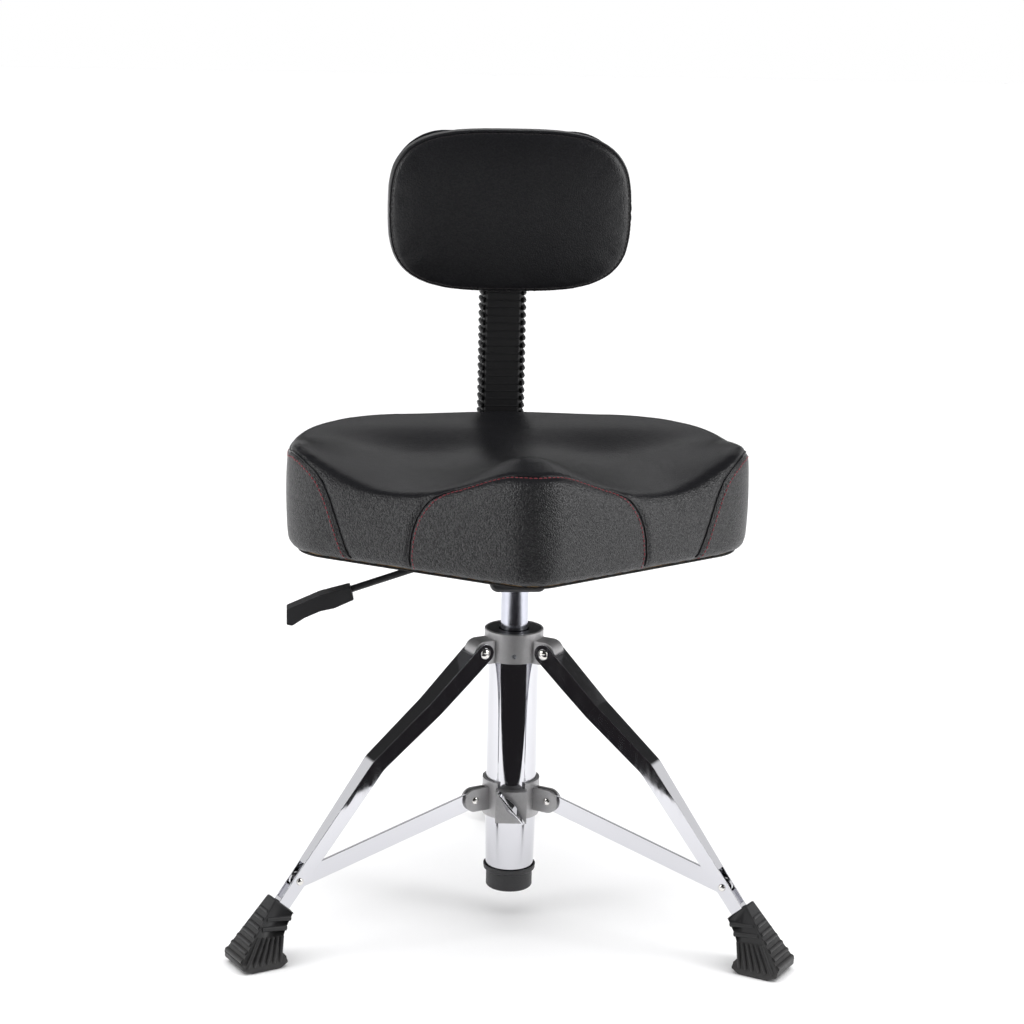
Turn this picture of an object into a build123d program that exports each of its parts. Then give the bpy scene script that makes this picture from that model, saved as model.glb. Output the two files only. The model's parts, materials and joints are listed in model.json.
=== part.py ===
"""Drum throne: a three-legged folding base, a gas lift, a saddle seat and an adjustable backrest.

Units are millimetres and +Z is up. The origin is on the floor, on the axis of the column.
The seat faces -Y, and its height lever is on the -X side. The tripod is turned a little from
the seat, because the seat swivels freely on it.
"""
from build123d import *
from math import atan2, cos, degrees, hypot, radians, sin
import os

os.makedirs("parts", exist_ok=True)

# --- Driving dimensions -------------------------------------------------------------------
TRIPOD_TURN = -4.3          # degrees from the seat's centre line to the rear leg's
LEG_ANGLES = [90 + TRIPOD_TURN, 210 + TRIPOD_TURN, 330 + TRIPOD_TURN]
FRONT_ANGLE = 270 + TRIPOD_TURN

FIT = 0.05                  # radial clearance of a running fit
GAP = 0.35                  # clearance between loose neighbours

# Outer column, and the tripod's two castings
TUBE_R = 26.0
TUBE_FOOT_R = 24.7
TUBE_WALL = 1.5
TUBE_BOTTOM = 50.0
TUBE_TAPER_TOP = 105.0
TUBE_TOP = 300.0
CAP_BOTTOM = 30.5
COLLAR_R = 30.25
COLLAR_BOTTOM = 279.0
COLLAR_TOP = 310.0
LUG_R = 12.0                # rounded end of the collar's lugs
LUG_WIDTH = 20.6
CLAMP_R = 29.5
CLAMP_BOTTOM = 112.0
CLAMP_TOP = 150.0
EAR_R = 12.0
EAR_THICKNESS = 3.0
BOSS_WIDTH = 32.0
BOSS_REACH = 36.0
WING_Z = 129.0

# Pivots of one leg, as (distance from the column's axis, height)
LEG_PIVOT = (40.5, 290.0)
CLAMP_PIVOT = (45.0, 131.5)
BRACE_PIVOT = (245.6, 80.0)
LEG_ROUTE = [LEG_PIVOT, (97.0, 239.0), (160.0, 189.0), (285.0, 30.0)]
LEG_DEPTHS = [20.0, 18.0, 16.0, 14.0]     # across the channel's walls, at each route point
LEG_BEND_R = 28.0
CHANNEL_WALL = 1.5
CHANNEL_PLAN = [(20.0, 24.4), (62.0, 24.4), (165.0, 19.0), (246.0, 11.6), (300.0, 11.0)]
RIVET_R = 4.0
SMALL_RIVET_R = 3.0
BRACE_HEIGHT = 18.0
BRACE_THICKNESS = 3.2

# Opening in the channel's back for the brace's end, along the leg and across it
WINDOW_SIZE = (40.0, 16.0)
WINDOW_SHIFT = (3.0, 6.0)   # from the brace's pivot, towards the foot and outwards

# Rubber feet
FOOT_TOP_HALF = 8.5         # half width at the top
FOOT_SOLE_HALF = 22.5       # half width at the sole
FOOT_SOLE_EDGE = 9.0        # height where the flanks start to lean in
FOOT_TOP = 69.0
# Side view of a foot as (distance from the column's axis, height), from the collar outwards
FOOT_SIDE = [
    (274, 68), (318, 12), (315, 4), (305, 0), (274, 0), (266, 5), (266, 12), (272, 19), (264, 37), (254, 51),
]

# Gas lift
CYLINDER_R = 14.0
CYLINDER_BORE_R = 12.5
CYLINDER_BOTTOM = 130.0
CYLINDER_TAPER = 352.0
CYLINDER_TOP = 380.0
CYLINDER_TIP_R = 13.1
ROD_R = 5.0
ROD_BOTTOM = 52.0
PISTON_BOTTOM = 233.0
PISTON_TOP = 243.0

# Mechanism under the seat
HOUSING_WIDTH = 58.0
HOUSING_FRONT = -38.0
HOUSING_REAR = 46.0
HOUSING_BOTTOM = 356.0
PLATE_BOTTOM = 396.0
PLATE_TOP = 399.0
PLATE_SIZE = (190.0, 170.0)
BOLT_SPACING = (150.0, 130.0)
BOLT_CENTRE_Y = 20.0
LEVER_PIVOT = (-22.0, 388.5)
LEVER_ROD_R = 3.5
BUTTON_R = 4.0

# Seat
SEAT_BOTTOM = 400.0
# Corners of the seat's plan, each as (x, y, radius of its rounding)
SEAT_CORNERS = [
    (0, -203, 48), (231, -52, 62), (231, 168, 130), (0, 192, 300), (-231, 168, 130), (-231, -52, 62),
]
SEAT_TOP_LINE = [(-210, 502), (-152, 520), (-64, 490), (28, 478), (120, 485), (200, 500)]
SEAT_ABOVE = 530.0          # a height above the whole seat
# Front view of the thigh hollows, as (distance from the middle, height)
THIGH_LINE = [(36, 518), (84, 488), (250, 486)]
THIGH_REAR = -40.0
BASE_INSET = 14.0
BASE_THICKNESS = 12.0

# Backrest
BAR_WIDTH = 45.0
BAR_THICKNESS = 8.0
BAR_Z = 388.0
BAR_Y = 212.0
BAR_FRONT = 60.0
BAR_TOP = 762.0
BAR_BEND_R = 35.0
BELLOWS_SIZE = (51.0, 30.0)
BELLOWS_BOTTOM = 432.0
SLEEVE_BOTTOM = 655.0
SLEEVE_TOP = 735.0
PAD_SIZE = (257.0, 170.0)
PAD_CENTRE_Z = 719.0
PAD_FRONT = 128.0
PAD_REAR = 176.0
PANEL_REAR = 184.0
BRACKET_REAR = 187.0
SCREW_SPACING = (64.0, 56.0)
SCREW_CENTRE_Z = 695.0
KNOB_R = 19.0


# --- Helpers ------------------------------------------------------------------------------
def save(part, name):
    """Label one finished piece and write it to its own file."""
    part.label = name
    export_step(part, f"parts/{name}.step")


def radial_plane(angle, sideways=0.0):
    """Upright plane through the column's axis: x runs outwards and y runs up."""
    outward = Vector(cos(radians(angle)), sin(radians(angle)), 0)
    normal = Vector(sin(radians(angle)), -cos(radians(angle)), 0)
    return Plane(origin=normal * sideways, x_dir=outward, z_dir=normal)


def facing_plane(angle, distance, height=0.0):
    """Upright plane square to a radius: z runs outwards, y runs up."""
    outward = Vector(cos(radians(angle)), sin(radians(angle)), 0)
    across = Vector(-sin(radians(angle)), cos(radians(angle)), 0)
    return Plane(origin=outward * distance + Vector(0, 0, height), x_dir=across, z_dir=outward)


def plan_plane(angle, height=0.0):
    """Level plane whose x runs outwards along one radius."""
    outward = Vector(cos(radians(angle)), sin(radians(angle)), 0)
    return Plane(origin=(0, 0, height), x_dir=outward, z_dir=(0, 0, 1))


def ring(name, profile):
    """A turned piece: a closed (radius, height) outline spun about the column's axis."""
    with BuildPart() as turned:
        with BuildSketch(Plane.XZ):
            with BuildLine():
                Polyline(*profile, close=True)
            make_face()
        revolve(axis=Axis.Z)
    save(turned.part, name)


def offset_route(route, distances):
    """Move each point of a route square to it, to the left for a positive distance."""
    moved = []
    for i, (x, y) in enumerate(route):
        before = route[max(i - 1, 0)]
        after = route[min(i + 1, len(route) - 1)]
        turn_in = atan2(y - before[1], x - before[0]) if i else None
        turn_out = atan2(after[1] - y, after[0] - x) if after != (x, y) else None
        first = turn_in if turn_in is not None else turn_out
        last = turn_out if turn_out is not None else turn_in
        middle = (first + last) / 2
        reach = distances[i] / cos((last - first) / 2)
        moved.append((x - reach * sin(middle), y + reach * cos(middle)))
    return moved


def channel_side(outer_drop, inner_extra):
    """Side view of a leg, its outer edge lowered and its inner edge pushed out."""
    outer = offset_route(LEG_ROUTE, [depth / 2 - outer_drop for depth in LEG_DEPTHS])
    inner = offset_route(LEG_ROUTE, [-depth / 2 - inner_extra for depth in LEG_DEPTHS])
    with BuildSketch(mode=Mode.PRIVATE) as side:
        with BuildLine():
            top = FilletPolyline(*outer, radius=LEG_BEND_R)
            bottom = FilletPolyline(*inner, radius=LEG_BEND_R)
            Line(top @ 0, bottom @ 0)
            Line(top @ 1, bottom @ 1)
        make_face()
    return side.sketch


def channel_plan(narrower):
    """Plan view of a leg: wide at the collar and narrow at the foot."""
    near = [(x, width / 2 - narrower) for x, width in CHANNEL_PLAN]
    far = [(x, -half) for x, half in reversed(near)]
    with BuildSketch(mode=Mode.PRIVATE) as plan:
        with BuildLine():
            Polyline(*near, *far, close=True)
        make_face()
    return plan.sketch


# --- Column: the outer tube and what is fixed in it ---------------------------------------
tube_inner = TUBE_R - TUBE_WALL
foot_inner = TUBE_FOOT_R - TUBE_WALL
ring("column_tube", [
    (TUBE_R, TUBE_TOP), (TUBE_R, TUBE_TAPER_TOP), (TUBE_FOOT_R, TUBE_BOTTOM),
    (foot_inner, TUBE_BOTTOM), (tube_inner, TUBE_TAPER_TOP), (tube_inner, TUBE_TOP),
])

# A moulded guide bush: flange on top, thin sleeve, and two rings that centre it in the tube
BUSH_BORE = CYLINDER_R + FIT
BUSH_BOTTOM = 225.0
BUSH_FLANGE_R = 28.0
BUSH_SLEEVE_R = 18.0
BUSH_HEAD_BOTTOM = 270.0
BUSH_MOUTH_R = 15.6
ring("guide_bush", [
    (BUSH_BORE, BUSH_BOTTOM), (tube_inner, BUSH_BOTTOM), (tube_inner, BUSH_BOTTOM + 8),
    (BUSH_SLEEVE_R, BUSH_BOTTOM + 8), (BUSH_SLEEVE_R, BUSH_HEAD_BOTTOM), (tube_inner, BUSH_HEAD_BOTTOM),
    (tube_inner, TUBE_TOP), (BUSH_FLANGE_R, TUBE_TOP), (BUSH_FLANGE_R, COLLAR_TOP - 0.8),
    (BUSH_MOUTH_R, COLLAR_TOP - 0.8), (BUSH_MOUTH_R, COLLAR_TOP - 5), (BUSH_BORE, COLLAR_TOP - 7),
])

BEARING_BOTTOM = 61.0
BEARING_TOP = 66.0
ring("base_plug", [
    (ROD_R + FIT, 56), (foot_inner, 56), (foot_inner, BEARING_BOTTOM), (ROD_R + FIT, BEARING_BOTTOM),
])
ring("thrust_bearing", [
    (ROD_R + GAP, BEARING_BOTTOM), (15, BEARING_BOTTOM), (15, BEARING_TOP), (ROD_R + GAP, BEARING_TOP),
])
ring("bottom_cap", [
    (0, CAP_BOTTOM), (22.5, CAP_BOTTOM), (24, CAP_BOTTOM + 1.5), (24, TUBE_BOTTOM - 1.5),
    (26.6, TUBE_BOTTOM), (27.2, TUBE_BOTTOM + 5),
    (25.6, TUBE_BOTTOM + 5), (25.2, TUBE_BOTTOM - 0.1), (foot_inner, TUBE_BOTTOM - 0.1),
    (21.5, TUBE_BOTTOM - 2), (21.5, CAP_BOTTOM + 3), (0, CAP_BOTTOM + 3),
])

# The cast top collar: a ring with three round-nosed lugs that carry the legs
with BuildPart() as top_collar:
    with BuildSketch(Plane.XY.offset(COLLAR_BOTTOM)):
        Circle(COLLAR_R)
    extrude(amount=COLLAR_TOP - COLLAR_BOTTOM)
    chamfer(top_collar.edges().filter_by(GeomType.CIRCLE).group_by(Axis.Z)[-1], length=0.7)
    for leg_angle in LEG_ANGLES:
        with BuildSketch(radial_plane(leg_angle)):
            with Locations(LEG_PIVOT):
                Circle(LUG_R)
            with Locations((LEG_PIVOT[0] - 10, LEG_PIVOT[1])):
                Rectangle(20, 2 * LUG_R)
        extrude(amount=LUG_WIDTH / 2, both=True)
    with BuildSketch(Plane.XY.offset(COLLAR_BOTTOM - 5)):
        Circle(TUBE_R)
    extrude(amount=TUBE_TOP - COLLAR_BOTTOM + 5, mode=Mode.SUBTRACT)
    with BuildSketch(Plane.XY.offset(TUBE_TOP)):
        Circle(BUSH_FLANGE_R)
    extrude(amount=20, mode=Mode.SUBTRACT)
    for leg_angle in LEG_ANGLES:
        with BuildSketch(radial_plane(leg_angle)):
            with Locations(LEG_PIVOT):
                Circle(RIVET_R)
        extrude(amount=LUG_WIDTH, both=True, mode=Mode.SUBTRACT)
        with BuildSketch(facing_plane(leg_angle + 60, TUBE_R, 287)):
            Circle(2.5)
        extrude(amount=10, mode=Mode.SUBTRACT)
save(top_collar.part, "top_collar")

# Three grub screws between the lugs, with hexagon sockets
with BuildPart() as collar_set_screws:
    for leg_angle in LEG_ANGLES:
        with BuildSketch(facing_plane(leg_angle + 60, TUBE_R + 0.1, 287)):
            Circle(2.5)
        extrude(amount=COLLAR_R - TUBE_R - 0.3)
        with BuildSketch(facing_plane(leg_angle + 60, TUBE_R + 1.8, 287)):
            RegularPolygon(1.4, 6)
        extrude(amount=5, mode=Mode.SUBTRACT)
save(collar_set_screws.part, "collar_set_screws")

# The rivets that the legs fold about: a plain shank and two domed heads each
LEG_HALF_WIDTH = CHANNEL_PLAN[0][1] / 2


def make_rivets(name, centre, radius, head_radius, half_grip, head_height):
    """One through rivet at each leg, square to it, with a domed head on each end."""
    with BuildPart() as rivets:
        for angle in LEG_ANGLES:
            with BuildSketch(radial_plane(angle)):
                with Locations(centre):
                    Circle(radius)
            extrude(amount=half_grip, both=True)
            for side in (1, -1):
                with BuildSketch(radial_plane(angle, side * half_grip)):
                    with Locations(centre):
                        Circle(head_radius)
                extrude(amount=side * head_height, taper=25)
    save(rivets.part, name)


make_rivets("leg_rivets", LEG_PIVOT, RIVET_R, 6.4, LEG_HALF_WIDTH + 0.25, 2.2)

# --- Gas lift: the rod that swivels in the base -------------------------------------------
ring("piston_rod", [
    (0, ROD_BOTTOM), (ROD_R, ROD_BOTTOM), (ROD_R, BEARING_TOP + 0.1), (9, BEARING_TOP + 0.1),
    (9, BEARING_TOP + 3), (ROD_R, BEARING_TOP + 3), (ROD_R, PISTON_TOP), (0, PISTON_TOP),
])
ring("rod_clip", [
    (ROD_R + 0.02, 53), (9, 53), (9, 54.6), (ROD_R + 0.02, 54.6),
])
ring("bump_ring", [
    (ROD_R + 0.02, BEARING_TOP + 3.1), (11, BEARING_TOP + 3.1), (12, BEARING_TOP + 5),
    (12, BEARING_TOP + 13), (11, BEARING_TOP + 15), (ROD_R + 0.02, BEARING_TOP + 15),
])
ring("piston", [
    (ROD_R + 0.02, PISTON_BOTTOM), (CYLINDER_BORE_R - 0.4, PISTON_BOTTOM),
    (CYLINDER_BORE_R - 0.4, PISTON_BOTTOM + 3.5), (CYLINDER_BORE_R - 1.6, PISTON_BOTTOM + 3.5),
    (CYLINDER_BORE_R - 1.6, PISTON_TOP - 3.5), (CYLINDER_BORE_R - 0.4, PISTON_TOP - 3.5),
    (CYLINDER_BORE_R - 0.4, PISTON_TOP), (ROD_R + 0.02, PISTON_TOP),
])

# --- Gas lift: the cylinder that rises with the seat --------------------------------------
GLAND_HEIGHT = 12.0
ring("gas_cylinder", [
    (CYLINDER_BORE_R, CYLINDER_BOTTOM), (CYLINDER_R, CYLINDER_BOTTOM), (CYLINDER_R, CYLINDER_TAPER),
    (CYLINDER_TIP_R, CYLINDER_TOP), (BUTTON_R + FIT, CYLINDER_TOP), (BUTTON_R + FIT, 370),
    (CYLINDER_BORE_R - 2.5, 370), (CYLINDER_BORE_R, 362),
])
ring("cylinder_gland", [
    (ROD_R + FIT, CYLINDER_BOTTOM + 0.5), (CYLINDER_BORE_R, CYLINDER_BOTTOM + 0.5),
    (CYLINDER_BORE_R, CYLINDER_BOTTOM + GLAND_HEIGHT), (ROD_R + FIT, CYLINDER_BOTTOM + GLAND_HEIGHT),
])
ring("valve_button", [
    (0, 366), (BUTTON_R, 366), (BUTTON_R, CYLINDER_TOP + 2.4), (2.2, CYLINDER_TOP + 4.3), (0, CYLINDER_TOP + 4.3),
])

# --- Mechanism ----------------------------------------------------------------------------
SOCKET_R = 20.0
socket_foot = HOUSING_BOTTOM + 2.6


def cone_radius(height):
    """Radius of the cylinder's tapered upper end at a height."""
    share = (height - CYLINDER_TAPER) / (CYLINDER_TOP - CYLINDER_TAPER)
    return CYLINDER_R + (CYLINDER_TIP_R - CYLINDER_R) * share


ring("taper_socket", [
    (cone_radius(socket_foot) + 0.02, socket_foot), (SOCKET_R, socket_foot), (SOCKET_R, CYLINDER_TOP - 1),
    (cone_radius(CYLINDER_TOP - 1) + 0.02, CYLINDER_TOP - 1),
])

housing_length = HOUSING_REAR - HOUSING_FRONT
with BuildPart() as mech_housing:
    with BuildSketch(Plane.XZ.offset(-HOUSING_REAR)):
        with Locations((0, (HOUSING_BOTTOM + PLATE_BOTTOM) / 2)):
            Rectangle(HOUSING_WIDTH, PLATE_BOTTOM - HOUSING_BOTTOM)
    extrude(amount=housing_length)
    fillet(mech_housing.edges().filter_by(Axis.Y).group_by(Axis.Z)[0], radius=9)
    fillet(mech_housing.edges().filter_by(Axis.Z), radius=5)
    offset(amount=-2.5, openings=mech_housing.faces().sort_by(Axis.Z)[-1])
    with BuildSketch(Plane.XY.offset(HOUSING_BOTTOM - 1)):
        Circle(CYLINDER_R + 0.3)
    extrude(amount=5, mode=Mode.SUBTRACT)
    with BuildSketch(Plane.YZ.offset(-HOUSING_WIDTH / 2 - 1)):
        with Locations((0, PLATE_BOTTOM)):
            Rectangle(14, 28)
    extrude(amount=5, mode=Mode.SUBTRACT)
    with BuildSketch(Plane.XZ.offset(-HOUSING_REAR - 1)):
        with Locations(LEVER_PIVOT):
            Circle(2.5)
    extrude(amount=housing_length + 2, mode=Mode.SUBTRACT)
save(mech_housing.part, "mech_housing")

with BuildPart() as lever_pin:
    with BuildSketch(Plane.XZ.offset(-HOUSING_REAR - 1)):
        with Locations(LEVER_PIVOT):
            Circle(2.5)
    extrude(amount=housing_length + 2)
save(lever_pin.part, "lever_pin")

with BuildPart() as mech_plate:
    with BuildSketch(Plane.XY.offset(PLATE_BOTTOM + 0.1)):
        with Locations((0, BOLT_CENTRE_Y)):
            RectangleRounded(*PLATE_SIZE, 14)
        with Locations((0, BOLT_CENTRE_Y)):
            with GridLocations(*BOLT_SPACING, 2, 2):
                Circle(3.3, mode=Mode.SUBTRACT)
    extrude(amount=PLATE_TOP - PLATE_BOTTOM - 0.1)
save(mech_plate.part, "mech_plate")

# A flat channel under the plate's rear, in which the backrest's bar slides
GUIDE_FRONT = 66.0
GUIDE_REAR = 126.0
GUIDE_BOTTOM = 380.5
STUD_Y = 96.0
with BuildPart() as bar_guide:
    with BuildSketch(Plane.XZ.offset(-GUIDE_REAR)):
        with Locations((0, (GUIDE_BOTTOM + PLATE_BOTTOM) / 2)):
            Rectangle(BAR_WIDTH + 11, PLATE_BOTTOM - GUIDE_BOTTOM)
        with Locations((0, BAR_Z)):
            Rectangle(BAR_WIDTH + 2 * GAP, BAR_THICKNESS + 2 * GAP, mode=Mode.SUBTRACT)
    extrude(amount=GUIDE_REAR - GUIDE_FRONT)
    with BuildSketch(Plane.XY.offset(GUIDE_BOTTOM - 1)):
        with Locations((0, STUD_Y)):
            Circle(RIVET_R + FIT)
    extrude(amount=5, mode=Mode.SUBTRACT)
save(bar_guide.part, "bar_guide")

# --- Height lever -------------------------------------------------------------------------
LEVER_ROUTE = [(6, LEVER_PIVOT[1]), (-31, LEVER_PIVOT[1]), (-94, 375), (-190, 343)]
with BuildPart() as lever_rod:
    with BuildLine(Plane.XZ) as lever_line:
        FilletPolyline(*LEVER_ROUTE, radius=20)
    with BuildSketch(Plane(origin=lever_line.line @ 0, z_dir=lever_line.line % 0)):
        Circle(LEVER_ROD_R)
    sweep()
    with BuildSketch(Plane.XZ.offset(-7)):
        with Locations(LEVER_PIVOT):
            Circle(5.5)
    extrude(amount=14)
    with BuildSketch(Plane.XZ.offset(-8)):
        with Locations(LEVER_PIVOT):
            Circle(2.5 + FIT)
    extrude(amount=16, mode=Mode.SUBTRACT)
save(lever_rod.part, "lever_rod")

HANDLE_OUTLINE = [
    (-232, 316), (-226, 315), (-214, 323), (-198, 330), (-184, 333), (-164, 342),
    (-168, 355), (-198, 347), (-232, 332),
]
with BuildPart() as lever_handle:
    with BuildSketch(Plane.XZ.offset(-10)):
        with BuildLine():
            Polyline(*HANDLE_OUTLINE, close=True)
        make_face()
    extrude(amount=20)
    chamfer(lever_handle.edges().filter_by(Axis.Y), length=0.8)
    add(lever_rod.part, mode=Mode.SUBTRACT)
save(lever_handle.part, "lever_handle")

# --- Seat ---------------------------------------------------------------------------------

# Plan of the seat: a blunt nose, wide flanks and a round rear
with BuildSketch() as seat_plan:
    with BuildLine():
        FilletPolyline(
            *[(x, y) for x, y, _ in SEAT_CORNERS], radius=[r for _, _, r in SEAT_CORNERS], close=True,
        )
    make_face()

BASE_BOTTOM = SEAT_BOTTOM + 0.2
BASE_TOP = BASE_BOTTOM + BASE_THICKNESS
with BuildPart() as seat_cushion:
    with BuildSketch(Plane.XY.offset(SEAT_BOTTOM)):
        add(seat_plan.sketch)
    extrude(amount=SEAT_ABOVE - SEAT_BOTTOM)
    with BuildSketch(Plane.YZ):
        with BuildLine():
            crown = FilletPolyline(*SEAT_TOP_LINE, radius=60)
            Polyline(
                crown @ 1, (SEAT_TOP_LINE[-1][0], SEAT_ABOVE), (SEAT_TOP_LINE[0][0], SEAT_ABOVE), crown @ 0,
            )
        make_face()
    extrude(amount=250, both=True, mode=Mode.SUBTRACT)
    for side in (1, -1):
        thigh = [(THIGH_LINE[0][0], SEAT_ABOVE), *THIGH_LINE, (THIGH_LINE[-1][0], SEAT_ABOVE)]
        with BuildSketch(Plane.XZ.offset(-THIGH_REAR)):
            with BuildLine():
                Polyline(*[(side * x, z) for x, z in thigh], close=True)
            make_face()
        extrude(amount=THIGH_REAR - SEAT_TOP_LINE[0][0], mode=Mode.SUBTRACT)
    with BuildSketch(Plane.XY.offset(SEAT_BOTTOM)):
        add(seat_plan.sketch)
        offset(amount=GAP - BASE_INSET, mode=Mode.REPLACE)
    extrude(amount=BASE_TOP - SEAT_BOTTOM + 0.2, mode=Mode.SUBTRACT)
save(seat_cushion.part, "seat_cushion")

with BuildPart() as seat_base:
    with BuildSketch(Plane.XY.offset(BASE_BOTTOM)):
        add(seat_plan.sketch)
        offset(amount=-BASE_INSET, mode=Mode.REPLACE)
    extrude(amount=BASE_THICKNESS)
    with Locations((0, BOLT_CENTRE_Y, BASE_TOP)):
        with GridLocations(*BOLT_SPACING, 2, 2):
            CounterBoreHole(radius=5, counter_bore_radius=11, counter_bore_depth=1.6)
save(seat_base.part, "seat_base")

with BuildPart() as seat_dust_cover:
    with BuildSketch(Plane.XY.offset(PLATE_TOP + 0.1)):
        add(seat_plan.sketch)
        offset(amount=-BASE_INSET + 4, mode=Mode.REPLACE)
        with Locations((0, BOLT_CENTRE_Y)):
            with GridLocations(*BOLT_SPACING, 2, 2):
                Circle(6, mode=Mode.SUBTRACT)
    extrude(amount=0.8)
save(seat_dust_cover.part, "seat_dust_cover")

with BuildPart() as t_nuts:
    with BuildSketch(Plane.XY.offset(BASE_TOP - 1.5)):
        with Locations((0, BOLT_CENTRE_Y)):
            with GridLocations(*BOLT_SPACING, 2, 2):
                Circle(10.8)
    extrude(amount=1.4)
    with BuildSketch(Plane.XY.offset(BASE_BOTTOM + 0.5)):
        with Locations((0, BOLT_CENTRE_Y)):
            with GridLocations(*BOLT_SPACING, 2, 2):
                Circle(4.9)
    extrude(amount=BASE_THICKNESS - 1.5)
    with BuildSketch(Plane.XY.offset(BASE_BOTTOM)):
        with Locations((0, BOLT_CENTRE_Y)):
            with GridLocations(*BOLT_SPACING, 2, 2):
                Circle(3.05)
    extrude(amount=BASE_THICKNESS + 1, mode=Mode.SUBTRACT)
save(t_nuts.part, "t_nuts")

with BuildPart() as mech_bolts:
    with BuildSketch(Plane.XY.offset(PLATE_BOTTOM - 4)):
        with Locations((0, BOLT_CENTRE_Y)):
            with GridLocations(*BOLT_SPACING, 2, 2):
                RegularPolygon(5.8, 6)
    extrude(amount=4)
    with BuildSketch(Plane.XY.offset(PLATE_BOTTOM - 0.1)):
        with Locations((0, BOLT_CENTRE_Y)):
            with GridLocations(*BOLT_SPACING, 2, 2):
                Circle(3)
    extrude(amount=BASE_TOP - PLATE_BOTTOM - 1.5)
save(mech_bolts.part, "mech_bolts")

# --- Backrest bar, bellows and the knob that clamps the bar -------------------------------
with BuildPart() as back_bar:
    with BuildSketch(Plane.YZ):
        with BuildLine():
            FilletPolyline((BAR_FRONT, BAR_Z), (BAR_Y, BAR_Z), (BAR_Y, BAR_TOP), radius=BAR_BEND_R)
        trace(line_width=BAR_THICKNESS)
    extrude(amount=BAR_WIDTH / 2, both=True)
    fillet(back_bar.edges().filter_by(Axis.Y).group_by(Axis.Z)[-1], radius=8)
save(back_bar.part, "back_bar")

RIB_PITCH = 8.5
rib_count = int((SLEEVE_BOTTOM - BELLOWS_BOTTOM) // RIB_PITCH)
with BuildPart() as bar_bellows:
    with BuildSketch(Plane.XY.offset(BELLOWS_BOTTOM)):
        with Locations((0, BAR_Y)):
            RectangleRounded(BELLOWS_SIZE[0] - 4, BELLOWS_SIZE[1] - 4, 4)
    extrude(amount=SLEEVE_BOTTOM - BELLOWS_BOTTOM - 0.2)
    for rib in range(rib_count):
        with BuildSketch(Plane.XY.offset(BELLOWS_BOTTOM + 2 + rib * RIB_PITCH)):
            with Locations((0, BAR_Y)):
                RectangleRounded(*BELLOWS_SIZE, 5)
        extrude(amount=4.5)
    with BuildSketch(Plane.XY.offset(BELLOWS_BOTTOM - 1)):
        with Locations((0, BAR_Y)):
            Rectangle(BAR_WIDTH + 1, BAR_THICKNESS + 2)
    extrude(amount=300, mode=Mode.SUBTRACT)
save(bar_bellows.part, "bar_bellows")


def star_knob(name, plane, stud_tip, hub_start, head_start, head_height):
    """Clamping knob along a plane's z axis: stud from the tip, slim hub, five-lobed head."""
    with BuildPart(plane) as knob:
        with BuildSketch(plane.offset(stud_tip)):
            Circle(RIVET_R)
        extrude(amount=head_start - stud_tip + 1)
        with BuildSketch(plane.offset(hub_start)):
            Circle(9)
        extrude(amount=head_start - hub_start + 1)
        with BuildSketch(plane.offset(head_start)) as lobes:
            Circle(KNOB_R - 4)
            with PolarLocations(KNOB_R - 6, 5):
                Circle(6)
            fillet(lobes.vertices(), radius=3)
        extrude(amount=head_height)
        chamfer(knob.faces().sort_by(Axis(plane.origin, plane.z_dir))[-1].edges(), length=2)
    save(knob.part, name)


star_knob("bar_knob", Plane(origin=(0, STUD_Y, BAR_Z - BAR_THICKNESS / 2), z_dir=(0, 0, -1)), 0.1, 5, 12, 18)

# --- Backrest: bracket, panel, pad --------------------------------------------------------
SLEEVE_HALF_DEPTH = BAR_THICKNESS / 2 + GAP + 3.5
KNOB_Z = 690.0
with BuildPart() as back_bracket:
    with BuildSketch(Plane.XY.offset(SLEEVE_BOTTOM)):
        with Locations((0, BAR_Y)):
            Rectangle(BAR_WIDTH + 2 * GAP + 7, 2 * SLEEVE_HALF_DEPTH)
    extrude(amount=SLEEVE_TOP - SLEEVE_BOTTOM)
    for side in (1, -1):
        with BuildSketch(Plane.XY.offset(SLEEVE_BOTTOM + 6)):
            with Locations((side * 22, (BRACKET_REAR + BAR_Y) / 2 - 4)):
                Rectangle(5, BAR_Y - BRACKET_REAR - 3)
        extrude(amount=SLEEVE_TOP - SLEEVE_BOTTOM - 12)
    with BuildSketch(Plane.XZ.offset(-BRACKET_REAR)):
        with Locations((0, SCREW_CENTRE_Z)):
            RectangleRounded(92, 84, 8)
            with GridLocations(*SCREW_SPACING, 2, 2):
                Circle(2.7, mode=Mode.SUBTRACT)
    extrude(amount=BRACKET_REAR - PANEL_REAR - 0.1)
    with BuildSketch(Plane.XZ.offset(-BAR_Y - SLEEVE_HALF_DEPTH)):
        with Locations((0, KNOB_Z)):
            Circle(9)
    extrude(amount=-7)
    with BuildSketch(Plane.XY.offset(SLEEVE_BOTTOM - 1)):
        with Locations((0, BAR_Y)):
            Rectangle(BAR_WIDTH + 2 * GAP, BAR_THICKNESS + 2 * GAP)
    extrude(amount=SLEEVE_TOP - SLEEVE_BOTTOM + 2, mode=Mode.SUBTRACT)
    with BuildSketch(Plane.XZ.offset(-BAR_Y)):
        with Locations((0, KNOB_Z)):
            Circle(RIVET_R + FIT)
    extrude(amount=-20, mode=Mode.SUBTRACT)
save(back_bracket.part, "back_bracket")

stud_start = BAR_Y + BAR_THICKNESS / 2
star_knob("height_knob", Plane(origin=(0, stud_start, KNOB_Z), z_dir=(0, 1, 0)), 0.1, 12, 16, 18)


def pad_outline(inset):
    """Front view of the backrest: a wide rounded rectangle."""
    with BuildSketch(mode=Mode.PRIVATE) as outline:
        with Locations((0, PAD_CENTRE_Z)):
            RectangleRounded(PAD_SIZE[0] - 2 * inset, PAD_SIZE[1] - 2 * inset, 62 - inset)
    return outline.sketch


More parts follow.
